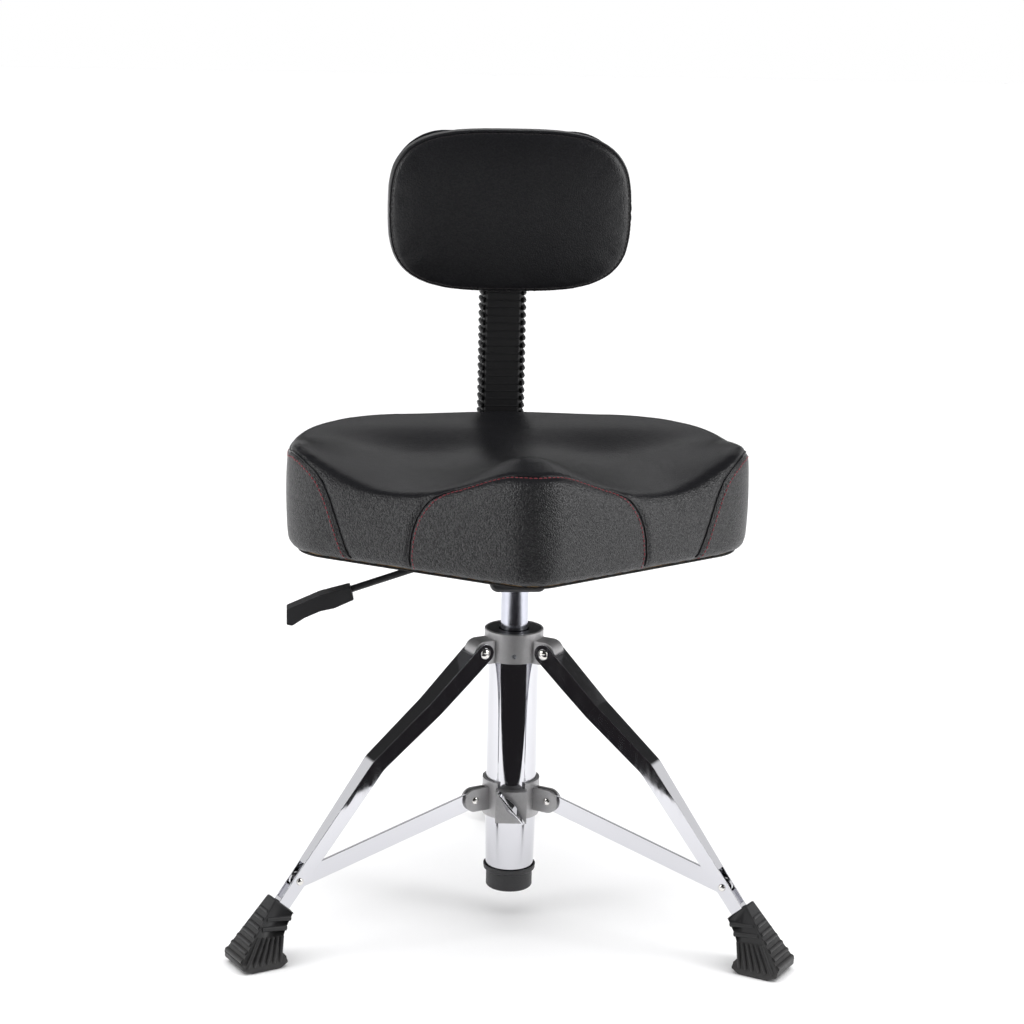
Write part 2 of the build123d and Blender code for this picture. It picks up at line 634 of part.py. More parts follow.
with BuildPart() as back_panel:
    with BuildSketch(Plane.XZ.offset(-PANEL_REAR)):
        add(pad_outline(5))
    extrude(amount=PANEL_REAR - PAD_REAR - 0.2)
    fillet(back_panel.faces().sort_by(Axis.Y)[-1].edges(), radius=5)
    with BuildSketch(Plane.XZ.offset(-PANEL_REAR)):
        with Locations((0, SCREW_CENTRE_Z)):
            with GridLocations(*SCREW_SPACING, 2, 2):
                Circle(2.7)
    extrude(amount=10, mode=Mode.SUBTRACT)
save(back_panel.part, "back_panel")

with BuildPart() as back_cushion:
    with BuildSketch(Plane.XZ.offset(-PAD_REAR)):
        add(pad_outline(0))
    extrude(amount=PAD_REAR - PAD_FRONT)
    fillet(back_cushion.faces().sort_by(Axis.Y)[0].edges(), radius=14)
    fillet(back_cushion.faces().sort_by(Axis.Y)[-1].edges(), radius=6)
save(back_cushion.part, "back_cushion")

with BuildPart() as back_screws:
    with BuildSketch(Plane.XZ.offset(-PAD_REAR - 0.5)):
        with Locations((0, SCREW_CENTRE_Z)):
            with GridLocations(*SCREW_SPACING, 2, 2):
                Circle(2.6)
    extrude(amount=-(BRACKET_REAR - PAD_REAR))
    with BuildSketch(Plane.XZ.offset(-BRACKET_REAR - 0.1)) as heads:
        with Locations((0, SCREW_CENTRE_Z)):
            with GridLocations(*SCREW_SPACING, 2, 2):
                Circle(5.2)
    extrude(amount=-3, taper=18)
save(back_screws.part, "back_screws")

# --- Sliding clamp that carries the braces ------------------------------------------------
EAR_INNER = BRACE_THICKNESS / 2 + GAP
EAR_OUTER = EAR_INNER + EAR_THICKNESS
with BuildPart() as brace_clamp:
    with BuildSketch(Plane.XY.offset(CLAMP_BOTTOM)):
        Circle(CLAMP_R)
    extrude(amount=CLAMP_TOP - CLAMP_BOTTOM)
    with BuildSketch(plan_plane(FRONT_ANGLE, CLAMP_BOTTOM - 1.5)):
        with Locations((BOSS_REACH / 2, 0)):
            Rectangle(BOSS_REACH, BOSS_WIDTH)
    extrude(amount=34)
    for leg_angle in LEG_ANGLES:
        with BuildSketch(radial_plane(leg_angle)):
            with Locations(CLAMP_PIVOT):
                Circle(EAR_R)
            with Locations((CLAMP_PIVOT[0] / 2, CLAMP_PIVOT[1])):
                Rectangle(CLAMP_PIVOT[0], 2 * EAR_R)
        extrude(amount=EAR_OUTER, both=True)
    for leg_angle in LEG_ANGLES:
        with BuildSketch(radial_plane(leg_angle)):
            with Locations((CLAMP_R + 25, CLAMP_PIVOT[1])):
                Rectangle(46, 60)
        extrude(amount=EAR_INNER, both=True, mode=Mode.SUBTRACT)
        with BuildSketch(radial_plane(leg_angle)):
            with Locations(CLAMP_PIVOT):
                Circle(SMALL_RIVET_R)
        extrude(amount=20, both=True, mode=Mode.SUBTRACT)
    with BuildSketch(Plane.XY.offset(CLAMP_BOTTOM - 10)):
        Circle(TUBE_R + GAP)
    extrude(amount=60, mode=Mode.SUBTRACT)
    with BuildSketch(plan_plane(FRONT_ANGLE, CLAMP_BOTTOM + 32)):
        with Locations((30, 0)):
            Rectangle(30, BOSS_WIDTH - 4)
    extrude(amount=20, mode=Mode.SUBTRACT)
    with BuildSketch(facing_plane(FRONT_ANGLE, 20, WING_Z)):
        Circle(RIVET_R + FIT)
    extrude(amount=30, mode=Mode.SUBTRACT)
save(brace_clamp.part, "brace_clamp")

make_rivets("brace_inner_rivets", CLAMP_PIVOT, SMALL_RIVET_R, 4.6, EAR_OUTER, 1.6)

# A wing screw whose tip presses on the column
WING_TURN = -51.0
WING_REACH = 21.0
WING_HALF_WIDTH = 5.4
WING_DEPTH = 11.0
wing_face = facing_plane(FRONT_ANGLE, BOSS_REACH + 0.5, WING_Z)
wing_along = wing_face.x_dir * cos(radians(WING_TURN)) + Vector(0, 0, 1) * sin(radians(WING_TURN))
wing_plane = Plane(origin=wing_face.origin, x_dir=wing_along, z_dir=wing_face.z_dir)


def wing_outline(reach, half_width, tip):
    """Front view of the wings: a long diamond with blunt tips."""
    with BuildSketch(mode=Mode.PRIVATE) as diamond:
        with BuildLine():
            Polyline(
                (-reach, -tip), (0, -half_width), (reach, -tip), (reach, tip), (0, half_width), (-reach, tip),
                close=True,
            )
        make_face()
    return diamond.sketch


with BuildPart() as wing_screw:
    with BuildSketch(facing_plane(FRONT_ANGLE, TUBE_R + GAP, WING_Z)):
        Circle(RIVET_R)
    extrude(amount=BOSS_REACH - TUBE_R + 3)
    with BuildSketch(wing_plane):
        add(wing_outline(WING_REACH, WING_HALF_WIDTH, 1.2))
    extrude(amount=WING_DEPTH / 2)
    with BuildSketch(wing_plane.offset(WING_DEPTH / 2)):
        add(wing_outline(WING_REACH, WING_HALF_WIDTH, 1.2))
    with BuildSketch(wing_plane.offset(WING_DEPTH)):
        add(wing_outline(WING_REACH - 1, 0.9, 0.5))
    loft()
save(wing_screw.part, "wing_screw")

# --- Legs, feet and braces ----------------------------------------------------------------
brace_slope = degrees(atan2(BRACE_PIVOT[1] - CLAMP_PIVOT[1], BRACE_PIVOT[0] - CLAMP_PIVOT[0]))
brace_length = hypot(BRACE_PIVOT[0] - CLAMP_PIVOT[0], BRACE_PIVOT[1] - CLAMP_PIVOT[1])
leg_slope = degrees(atan2(LEG_ROUTE[3][1] - LEG_ROUTE[2][1], LEG_ROUTE[3][0] - LEG_ROUTE[2][0]))


def make_leg(number, angle):
    """Pressed channel, open inwards, with a window in its back for the brace's end."""
    with BuildPart() as leg:
        with BuildSketch(radial_plane(angle)):
            add(channel_side(0, 0))
            with Locations(LEG_PIVOT):
                Circle(LEG_DEPTHS[0] / 2)
        extrude(amount=20, both=True)
        with BuildSketch(plan_plane(angle)):
            add(channel_plan(0))
        extrude(amount=400, mode=Mode.INTERSECT)
    with BuildPart() as hollow:
        with BuildSketch(radial_plane(angle)):
            add(channel_side(CHANNEL_WALL, 12))
            with Locations(LEG_PIVOT):
                Circle(LUG_R + 2.5)
            with Locations(Pos(*BRACE_PIVOT) * Rot(0, 0, leg_slope) * Pos(*WINDOW_SHIFT)):
                Rectangle(*WINDOW_SIZE)
        extrude(amount=20, both=True)
        with BuildSketch(plan_plane(angle)):
            add(channel_plan(CHANNEL_WALL))
        extrude(amount=400, mode=Mode.INTERSECT)
    with BuildPart() as channel:
        add(leg.part)
        add(hollow.part, mode=Mode.SUBTRACT)
        with BuildSketch(radial_plane(angle)):
            with Locations(LEG_PIVOT):
                Circle(RIVET_R + FIT)
            with Locations(BRACE_PIVOT):
                Circle(SMALL_RIVET_R)
        extrude(amount=30, both=True, mode=Mode.SUBTRACT)
    save(channel.part, f"leg_{number}")


def make_stub_rivets(number, angle):
    """Two short rivets that hold the brace's end from both walls of the leg."""
    outer = 6.1
    with BuildPart() as stubs:
        for side in (1, -1):
            with BuildSketch(radial_plane(angle, side * (BRACE_THICKNESS / 2 + GAP))):
                with Locations(BRACE_PIVOT):
                    Circle(SMALL_RIVET_R)
            extrude(amount=side * (outer - BRACE_THICKNESS / 2 - GAP))
            with BuildSketch(radial_plane(angle, side * outer)):
                with Locations(BRACE_PIVOT):
                    Circle(4.4)
            extrude(amount=side * 1.6, taper=25)
    save(stubs.part, f"leg_stub_rivets_{number}")


def make_foot(number, angle):
    """Moulded rubber boot: narrow where the leg enters, wide and flat on the floor."""
    with BuildPart() as foot:
        with BuildSketch(radial_plane(angle)):
            with BuildLine():
                Polyline(*FOOT_SIDE, close=True)
            make_face()
        extrude(amount=FOOT_SOLE_HALF, both=True)
        with BuildSketch(facing_plane(angle, 230)):
            with BuildLine():
                Polyline(
                    (-FOOT_SOLE_HALF, 0), (FOOT_SOLE_HALF, 0), (FOOT_SOLE_HALF, FOOT_SOLE_EDGE),
                    (FOOT_TOP_HALF, FOOT_TOP), (-FOOT_TOP_HALF, FOOT_TOP), (-FOOT_SOLE_HALF, FOOT_SOLE_EDGE),
                    close=True,
                )
            make_face()
        extrude(amount=120, mode=Mode.INTERSECT)
        with BuildSketch(radial_plane(angle)):
            with Locations(Pos(*LEG_ROUTE[3]) * Rot(0, 0, leg_slope) * Pos(-24.6, 0)):
                Rectangle(50, 15.4)
        extrude(amount=CHANNEL_PLAN[-1][1] / 2 + 0.5, both=True, mode=Mode.SUBTRACT)
    save(foot.part, f"foot_{number}")


def make_brace(number, angle):
    """Flat bar on edge with round ends, pivoted between the clamp's ears."""
    middle = ((CLAMP_PIVOT[0] + BRACE_PIVOT[0]) / 2, (CLAMP_PIVOT[1] + BRACE_PIVOT[1]) / 2)
    with BuildPart() as brace:
        with BuildSketch(radial_plane(angle)):
            with Locations(Pos(*middle) * Rot(0, 0, brace_slope)):
                SlotCenterToCenter(brace_length, BRACE_HEIGHT)
            with Locations(CLAMP_PIVOT):
                Circle(SMALL_RIVET_R + FIT, mode=Mode.SUBTRACT)
            with Locations(BRACE_PIVOT):
                Circle(SMALL_RIVET_R + GAP, mode=Mode.SUBTRACT)
        extrude(amount=BRACE_THICKNESS / 2, both=True)
    save(brace.part, f"brace_{number}")


for index, leg_angle in enumerate(LEG_ANGLES, start=1):
    make_leg(index, leg_angle)
    make_stub_rivets(index, leg_angle)
    make_foot(index, leg_angle)
    make_brace(index, leg_angle)
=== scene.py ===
# %% [markdown]
# # A drum throne, dressed for its picture
# The drum throne is a saddle seat with a backrest, on a gas lift over a folding chrome tripod.
# Its metal and plastic pieces come from the CAD model, which is the fixed frame of this lesson:
# we never move them. What we add is what CAD can't give: stuffed leather, sewn seams,
# ribbed rubber, soft edges that catch the light, and a finish for every surface.

# %% Load the frame
import json
import math

import bmesh
import bpy
import numpy as np
from mathutils import Matrix, Vector
from mathutils.bvhtree import BVHTree


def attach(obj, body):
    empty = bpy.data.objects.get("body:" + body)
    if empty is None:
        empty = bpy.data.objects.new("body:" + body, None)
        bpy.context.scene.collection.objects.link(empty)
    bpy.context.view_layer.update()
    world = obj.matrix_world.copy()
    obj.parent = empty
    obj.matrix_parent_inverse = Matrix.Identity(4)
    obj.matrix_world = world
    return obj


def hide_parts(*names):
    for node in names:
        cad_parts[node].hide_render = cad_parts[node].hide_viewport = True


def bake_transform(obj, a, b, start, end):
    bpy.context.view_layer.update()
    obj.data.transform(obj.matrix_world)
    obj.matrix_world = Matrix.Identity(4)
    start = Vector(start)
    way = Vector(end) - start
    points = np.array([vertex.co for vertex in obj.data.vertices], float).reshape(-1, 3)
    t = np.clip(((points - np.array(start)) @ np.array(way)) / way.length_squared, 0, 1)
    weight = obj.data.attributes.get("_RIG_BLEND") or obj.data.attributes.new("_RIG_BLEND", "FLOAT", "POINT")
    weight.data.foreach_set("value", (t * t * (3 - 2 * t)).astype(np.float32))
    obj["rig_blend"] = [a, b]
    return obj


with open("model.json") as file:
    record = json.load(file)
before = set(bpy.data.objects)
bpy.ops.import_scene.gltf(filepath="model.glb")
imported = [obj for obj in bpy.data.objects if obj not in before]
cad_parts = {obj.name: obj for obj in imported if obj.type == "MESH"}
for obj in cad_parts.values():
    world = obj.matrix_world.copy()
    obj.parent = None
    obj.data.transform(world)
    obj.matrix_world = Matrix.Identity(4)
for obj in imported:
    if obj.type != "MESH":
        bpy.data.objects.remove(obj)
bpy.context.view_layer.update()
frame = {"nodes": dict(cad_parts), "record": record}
MM = 0.001                       # the CAD is in metres here, and a throne maker thinks in millimetres
print("pieces from the CAD model:", len(frame["nodes"]))

# %% [markdown]
# ## Where things are
# Every measure below hangs on a few sizes of the object: the three legs stand 120 degrees
# apart and a little turned from the seat, and each leg, brace and foot is easiest to think of
# in the upright plane through its leg, as a distance from the column's axis and a height.

# %% The object's own directions
TRIPOD_TURN = math.radians(-4.3)
LEG_TURNS = [math.radians(angle) + TRIPOD_TURN for angle in (90, 210, 330)]
slot_of = {row["node"]: row["material_slot"] for row in frame["record"]["subparts"]}
body_of = {node: body for body, nodes in frame["record"]["behaviour"]["bodies"].items() for node in nodes}


def beside_leg(turn, reach, height, sideways=0.0):
    """Point in a leg's upright plane, in metres, from millimetres."""
    outward = Vector((math.cos(turn), math.sin(turn), 0))
    across = Vector((-math.sin(turn), math.cos(turn), 0))
    return (outward * reach + across * sideways + Vector((0, 0, height))) * MM


def eased(value, low, high):
    """0 below low, 1 above high, and a smooth rise between them."""
    share = np.clip((value - low) / (high - low), 0, 1)
    return share * share * (3 - 2 * share)


# %% [markdown]
# ## A short way to write materials
# A finish is a small graph of nodes round one Principled shader. Writing each node out takes
# many lines, so a helper adds a node, sets it and wires it in one call. Patterns read Object
# coordinates, in metres, so a noise scale of 1000 gives grains of about a millimetre.
# What is the same all over a surface is set on the shader's own sockets.

# %% The finish helper
class Finish:
    """One material in the making. Sockets are named as Blender names them."""

    def __init__(self, name, **constants):
        self.material = bpy.data.materials.new(name)
        self.material.use_nodes = True
        self.tree = self.material.node_tree
        self.shader = self.tree.nodes["Principled BSDF"]
        for socket, value in constants.items():
            self.shader.inputs[socket.replace("_", " ")].default_value = value
        self.place = self.add("ShaderNodeTexCoord").outputs["Object"]

    def add(self, kind, inputs=None, **settings):
        node = self.tree.nodes.new(kind)
        for key, value in settings.items():
            setattr(node, key, value)
        for key, value in (inputs or {}).items():
            if isinstance(value, bpy.types.NodeSocket):
                self.tree.links.new(value, node.inputs[key])
            else:
                node.inputs[key].default_value = value
        return node

    def noise(self, scale, detail=3.0, place=None):
        inputs = {"Vector": place or self.place, "Scale": scale, "Detail": detail}
        return self.add("ShaderNodeTexNoise", inputs).outputs["Fac"]

    def cells(self, scale, place=None, **settings):
        inputs = {"Vector": place or self.place, "Scale": scale}
        return self.add("ShaderNodeTexVoronoi", inputs, **settings).outputs["Distance"]

    def stretched(self, x, y, z):
        """Coordinates pulled out along one axis, for grain or brush marks."""
        return self.add("ShaderNodeMapping", {"Vector": self.place, "Scale": (x, y, z)}).outputs["Vector"]

    def maths(self, operation, a, b=0.0):
        return self.add("ShaderNodeMath", {0: a, 1: b}, operation=operation).outputs[0]

    def span(self, value, low, high, bottom=0.0, top=1.0):
        """Rescale a value that runs from bottom to top, so that it runs from low to high."""
        inputs = {"Value": value, "From Min": bottom, "From Max": top, "To Min": low, "To Max": high}
        return self.add("ShaderNodeMapRange", inputs).outputs["Result"]

    def blend(self, share, first, second):
        """Colour from first at share 0 to second at share 1."""
        node = self.tree.nodes.new("ShaderNodeMix")
        node.data_type = "RGBA"
        self.tree.links.new(share, node.inputs["Factor"])
        ends = [socket for socket in node.inputs if socket.type == "RGBA"]
        for socket, colour in zip(ends, (first, second)):
            socket.default_value = (*colour, 1)
        return [socket for socket in node.outputs if socket.type == "RGBA"][0]

    def wire(self, socket, value):
        self.tree.links.new(value, self.shader.inputs[socket])

    def bump(self, height, distance, strength=1.0):
        """Relief of a given depth in metres. A second call lies on top of the first."""
        node = self.add("ShaderNodeBump", {"Height": height, "Distance": distance, "Strength": strength})
        before = self.shader.inputs["Normal"]
        if before.is_linked:
            self.tree.links.new(before.links[0].from_socket, node.inputs["Normal"])
        self.wire("Normal", node.outputs["Normal"])


finishes = {}

# %% [markdown]
# ## Metals
# Chrome plate is almost a mirror: what makes it look real is that it isn't quite flat, so
# reflections waver, and that fine wipe marks change its gloss a little. The two castings are
# blasted aluminium, dull and grainy. The lift's cylinder is ground, with very fine lines
# round it. Rivets and screws are plain steel, brighter on the rivets.

# %% Chrome, castings, steel
def chrome():
    made = Finish("polished_chrome", Metallic=1.0, Base_Color=(0.62, 0.62, 0.65, 1))
    wipes = made.noise(240, 4, made.stretched(1.0, 1.0, 0.15))
    made.wire("Roughness", made.span(wipes, 0.025, 0.085, 0.35, 0.7))
    made.bump(made.noise(22, 1), 0.00012, 0.5)
    made.bump(made.noise(2600, 2), 0.000002, 0.3)
    return made.material


def castings():
    made = Finish("blasted_aluminium", Metallic=1.0)
    cloud = made.noise(90, 4)
    made.wire("Base Color", made.blend(cloud, (0.40, 0.395, 0.40), (0.54, 0.535, 0.54)))
    made.wire("Roughness", made.span(made.noise(700, 2), 0.42, 0.6, 0.3, 0.7))
    made.bump(made.cells(1500, feature="F1"), 0.00012, 0.45)
    made.bump(made.noise(300, 3), 0.0001, 0.35)
    return made.material


def steel(name, colour, low, high):
    made = Finish(name, Metallic=1.0)
    made.wire("Base Color", made.blend(made.noise(160, 3), [0.82 * c for c in colour], colour))
    made.wire("Roughness", made.span(made.noise(900, 3), low, high, 0.3, 0.7))
    made.bump(made.noise(1400, 2), 0.00002, 0.4)
    return made.material


def ground_cylinder():
    made = Finish("ground_cylinder", Metallic=1.0, Anisotropic=0.3)
    lines = made.noise(900, 3, made.stretched(0.12, 0.12, 4.0))
    made.wire("Base Color", made.blend(made.noise(120, 4), (0.48, 0.49, 0.55), (0.62, 0.63, 0.70)))
    made.wire("Roughness", made.span(lines, 0.12, 0.26, 0.3, 0.7))
    made.bump(lines, 0.00001, 0.5)
    return made.material


finishes["chrome"] = chrome()
finishes["cast_aluminium"] = castings()
finishes["bright_steel"] = steel("rivet_steel", (0.86, 0.84, 0.81), 0.08, 0.2)
finishes["zinc_steel"] = steel("zinc_plated_steel", (0.62, 0.64, 0.68), 0.22, 0.38)
finishes["piston_alloy"] = steel("turned_alloy", (0.7, 0.7, 0.71), 0.25, 0.35)
finishes["cylinder_chrome"] = ground_cylinder()
print("metals:", sorted(finishes))

# %% [markdown]
# ## Plastic, paint and rubber
# All are black, and still each looks different: moulded plastic has a fine sparked texture,
# powder coat an orange-peel surface, and rubber is dull with a little dust near the floor.

# %% Plastic, paint and rubber
def moulding(name, colour, low, high, grain):
    made = Finish(name, Specular_IOR_Level=0.45)
    made.wire("Base Color", made.blend(made.noise(35, 3), [0.7 * c for c in colour], colour))
    made.wire("Roughness", made.span(made.noise(420, 3), low, high, 0.3, 0.7))
    made.bump(made.cells(grain, feature="F1"), 0.00008, 0.35)
    return made.material


def powder_coat():
    made = Finish("black_powder_coat", Specular_IOR_Level=0.5)
    made.wire("Base Color", made.blend(made.noise(60, 3), (0.012, 0.012, 0.013), (0.022, 0.022, 0.024)))
    made.wire("Roughness", made.span(made.noise(180, 3), 0.3, 0.44, 0.3, 0.7))
    made.bump(made.noise(480, 2), 0.00012, 0.35)
    return made.material


def rubber(name, low, high, dusty):
    made = Finish(name, Specular_IOR_Level=0.4)
    height = made.add("ShaderNodeSeparateXYZ", {0: made.place}).outputs["Z"]
    near_floor = made.span(height, dusty, 0.0, 0.0, 0.05)
    dust = made.maths("MULTIPLY", made.noise(130, 5), near_floor)
    made.wire("Base Color", made.blend(dust, (0.014, 0.014, 0.015), (0.10, 0.095, 0.09)))
    made.wire("Roughness", made.span(made.noise(260, 4), low, high, 0.3, 0.7))
    made.bump(made.noise(1500, 3), 0.00008, 0.4)
    return made.material


finishes["dark_plastic"] = moulding("dark_moulding", (0.03, 0.03, 0.032), 0.42, 0.56, 1900)
finishes["gloss_plastic"] = moulding("satin_moulding", (0.024, 0.024, 0.026), 0.32, 0.44, 2200)
finishes["valve_red"] = moulding("red_moulding", (0.42, 0.03, 0.025), 0.3, 0.42, 2000)
finishes["black_paint"] = powder_coat()
finishes["foot_rubber"] = rubber("foot_rubber", 0.38, 0.52, 0.35)
finishes["bellows_rubber"] = rubber("bellows_rubber", 0.36, 0.5, 0.0)

# %% [markdown]
# ## Leather, thread, plywood and cloth
# The covers are synthetic leather with a pebble grain. Each pebble is a smooth cell, a little
# glossier on its crown than in the crease beside it, and a slower noise breaks up the
# repeat. Stretched over foam the grain opens and flattens, so each cover carries its own
# "grain" value: full on the upright panels and faint on top. The thread is dark red.

# %% Leather
PEBBLES_PER_METRE = 780.0


def leather():
    made = Finish("pebbled_leather", Specular_IOR_Level=0.42)
    grain = made.add("ShaderNodeAttribute", attribute_name="grain").outputs["Fac"]
    drift = made.add("ShaderNodeVectorMath", {
        0: made.add("ShaderNodeTexNoise", {"Vector": made.place, "Scale": 320.0}).outputs["Color"],
    }, operation="SCALE")
    drift.inputs["Scale"].default_value = 0.0009
    bent = made.add("ShaderNodeVectorMath", {0: made.place}, operation="ADD")
    made.tree.links.new(drift.outputs[0], bent.inputs[1])
    pebbles = made.cells(PEBBLES_PER_METRE, bent.outputs[0], feature="SMOOTH_F1")
    relief = made.maths("MULTIPLY", pebbles, grain)
    each = made.add("ShaderNodeTexVoronoi", {"Vector": bent.outputs[0], "Scale": PEBBLES_PER_METRE})
    lot = made.add("ShaderNodeSeparateXYZ", {0: each.outputs["Color"]})
    shine = made.maths("MULTIPLY", lot.outputs["X"], grain)
    made.wire("Specular IOR Level", made.span(shine, 0.36, 0.85))
    worn = made.noise(11, 4)
    made.wire("Base Color", made.blend(worn, (0.006, 0.006, 0.007), (0.011, 0.011, 0.0125)))
    dulled = made.maths("ADD", relief, made.maths("MULTIPLY", worn, 0.25))
    made.wire("Roughness", made.span(dulled, 0.27, 0.46, 0.1, 0.75))
    made.bump(made.noise(26, 3), 0.0006, 0.25)
    made.bump(relief, -0.0008, 1.0)
    made.bump(made.noise(2400, 2), 0.00002, 0.3)
    return made.material


# %% Thread, plywood and cloth
def thread():
    made = Finish("red_thread", Specular_IOR_Level=0.3, Sheen_Weight=0.3)
    twist = made.noise(2600, 3)
    made.wire("Base Color", made.blend(twist, (0.085, 0.006, 0.012), (0.24, 0.018, 0.03)))
    made.wire("Roughness", made.span(twist, 0.5, 0.75, 0.3, 0.7))
    made.bump(twist, 0.0001, 0.5)
    return made.material


def plywood():
    made = Finish("birch_plywood", Specular_IOR_Level=0.3)
    height = made.add("ShaderNodeSeparateXYZ", {0: made.place}).outputs["Z"]
    layer = made.maths("FRACT", made.maths("MULTIPLY", height, 1 / 0.0024))
    grain = made.noise(90, 5, made.stretched(0.12, 1.0, 1.0))
    tone = made.maths("MULTIPLY", made.maths("GREATER_THAN", layer, 0.5), 0.35)
    made.wire("Base Color", made.blend(made.maths("ADD", tone, made.maths("MULTIPLY", grain, 0.6)),
                                       (0.66, 0.5, 0.32), (0.36, 0.22, 0.11)))
    made.wire("Roughness", made.span(grain, 0.5, 0.7))
    made.bump(grain, 0.0001, 0.4)
    return made.material


def dust_cloth():
    made = Finish("nonwoven_cloth", Specular_IOR_Level=0.2, Sheen_Weight=0.15)
    dots = made.cells(520, feature="F1")
    made.wire("Base Color", made.blend(dots, (0.012, 0.012, 0.013), (0.035, 0.035, 0.036)))
    made.wire("Roughness", made.span(dots, 0.75, 0.9))
    made.bump(dots, 0.0002, 0.6)
    return made.material


finishes["seat_leather"] = leather()
finishes["plywood"] = plywood()
finishes["dust_cloth"] = dust_cloth()
red_thread = thread()
for node_name, cad_node in frame["nodes"].items():
    cad_node.data.materials.clear()
    cad_node.data.materials.append(finishes[slot_of[node_name]])
print("finishes:", len(finishes) + 1)


# %% [markdown]
# ## Making pieces
# A new piece is a mesh at the origin with its place in its own points, as the CAD nodes are.
# It rides on a body of the frame, takes a finish from the record's slots, and may stand for
# a CAD node, which is then hidden.

# %% Piece helpers
def placed(name, data):
    """New object in the scene, at the origin."""
    made = bpy.data.objects.new(name, data)
    bpy.context.scene.collection.objects.link(made)
    return made


def settled(made):
    """The plain mesh that an object's modifiers make of it."""
    return bpy.data.meshes.new_from_object(made.evaluated_get(bpy.context.evaluated_depsgraph_get()))


def piece_from(name, mesh, body, finish=None, replaces=()):
    """Finish a mesh as a piece of the throne that moves with one body."""
    made = placed(name, mesh)
    if finish is not None:
        mesh.materials.clear()
        mesh.materials.append(finish)
    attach(made, body)
    if replaces:
        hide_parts(*replaces)
    return made


def mesh_of(points, faces, name="shape"):
    """Plain mesh from points in metres and faces, welded, its faces turned outwards."""
    mesh = bpy.data.meshes.new(name)
    mesh.from_pydata([tuple(p) for p in points], [], faces)
    work = bmesh.new()
    work.from_mesh(mesh)
    bmesh.ops.remove_doubles(work, verts=work.verts, dist=1e-6)
    bmesh.ops.recalc_face_normals(work, faces=work.faces)
    work.to_mesh(mesh)
    work.free()
    mesh.shade_smooth()
    return mesh


def bridged(rings, cap_start=True, cap_end=True):
    """Faces between closed rings of equal length, given as a flat list of points ring by ring."""
    count = len(rings[0])
    points = [p for ring in rings for p in ring]
    faces = []
    for k in range(len(rings) - 1):
        for i in range(count):
            j = (i + 1) % count
            faces.append((k * count + i, k * count + j, (k + 1) * count + j, (k + 1) * count + i))
    if cap_start:
        faces.append(tuple(reversed(range(count))))
    if cap_end:
        faces.append(tuple(range((len(rings) - 1) * count, len(rings) * count)))
    return points, faces


# %% [markdown]
# ## Soft edges
# A CAD edge is perfectly sharp, and no real edge is: the thin bright line along a real edge
# is a small rounding that catches the light. We copy a CAD node's mesh, weld its loose
# triangles, join the flat ones back into whole faces, and let the Bevel modifier round what
# is sharp. Weighted Normal then keeps the flat faces looking flat, which a mirror finish needs.
# The copy stands for the node.

# %% Edges that catch the light
BEVEL_ANGLE = math.radians(34)


def softened(node, width, segments=2, name=None, finish=None):
    """Copy of a CAD node with its sharp edges rounded by a width in millimetres."""
    mesh = frame["nodes"][node].data.copy()
    work = bmesh.new()
    work.from_mesh(mesh)
    bmesh.ops.remove_doubles(work, verts=work.verts, dist=2e-6)
    bmesh.ops.dissolve_limit(work, angle_limit=math.radians(0.8), verts=work.verts, edges=work.edges)
    work.to_mesh(mesh)
    work.free()
    for attribute in [a.name for a in mesh.attributes if a.name.startswith("custom")]:
        mesh.attributes.remove(mesh.attributes[attribute])
    mesh.shade_smooth()
    mesh.name = name or f"{node}_piece"
    made = placed(mesh.name, mesh)
    bevel = made.modifiers.new("edges", "BEVEL")
    bevel.width = width * MM
    bevel.segments = segments
    bevel.limit_method = "ANGLE"
    bevel.angle_limit = BEVEL_ANGLE
    even = made.modifiers.new("flat_faces_stay_flat", "WEIGHTED_NORMAL")
    even.mode = "FACE_AREA"
    even.weight = 90
    final = settled(made)
    bpy.data.objects.remove(made)
    return piece_from(mesh.name, final, body_of[node], finish or finishes[slot_of[node]], [node])


EDGE_WIDTHS = {
    "top_collar": 0.6, "brace_clamp": 0.7, "wing_screw": 0.3, "bottom_cap": 0.5, "guide_bush": 0.4,
    "lever_handle": 1.2, "mech_plate": 0.4, "mech_housing": 0.5, "bar_guide": 0.5, "back_bar": 0.9,
    "back_bracket": 0.5, "bar_knob": 0.7, "height_knob": 0.7, "collar_set_screws": 0.15,
    "brace_1": 0.35, "brace_2": 0.35, "brace_3": 0.35,
}
for node_name, edge_width in EDGE_WIDTHS.items():
    softened(node_name, edge_width)
LEG_EDGE = 0.5
for number in (1, 2, 3):
    softened(f"leg_{number}", LEG_EDGE)
print("softened:", len(EDGE_WIDTHS) + len(LEG_TURNS))


# %% [markdown]
# ## Three small Geometry Nodes tools
# Whatever repeats or follows a line is made by a tree, so that one change of a pitch or a
# radius changes them all. *Tubes* puts a round cord on every edge of a guide mesh: piping and
# moulded ribs. *Stitches* lays short threads end to end along a guide. *Studs* sets one domed
# head on each point, along that point's own direction. Each ends in Realize Instances and Set
# Material, is given its inputs before it is first evaluated, and is then baked to a mesh.

# %% Building and baking a tree
def new_tree(name, inputs):
    """Empty tree with a mesh in, a mesh out and named inputs, each (name, kind, start value)."""
    tree = bpy.data.node_groups.new(name, "GeometryNodeTree")
    tree.interface.new_socket("Geometry", in_out="INPUT", socket_type="NodeSocketGeometry")
    for label, kind, value in inputs:
        socket = tree.interface.new_socket(label, in_out="INPUT", socket_type=kind)
        if value is not None:
            socket.default_value = value
    tree.interface.new_socket("Geometry", in_out="OUTPUT", socket_type="NodeSocketGeometry")
    return tree, tree.nodes.new("NodeGroupInput"), tree.nodes.new("NodeGroupOutput")


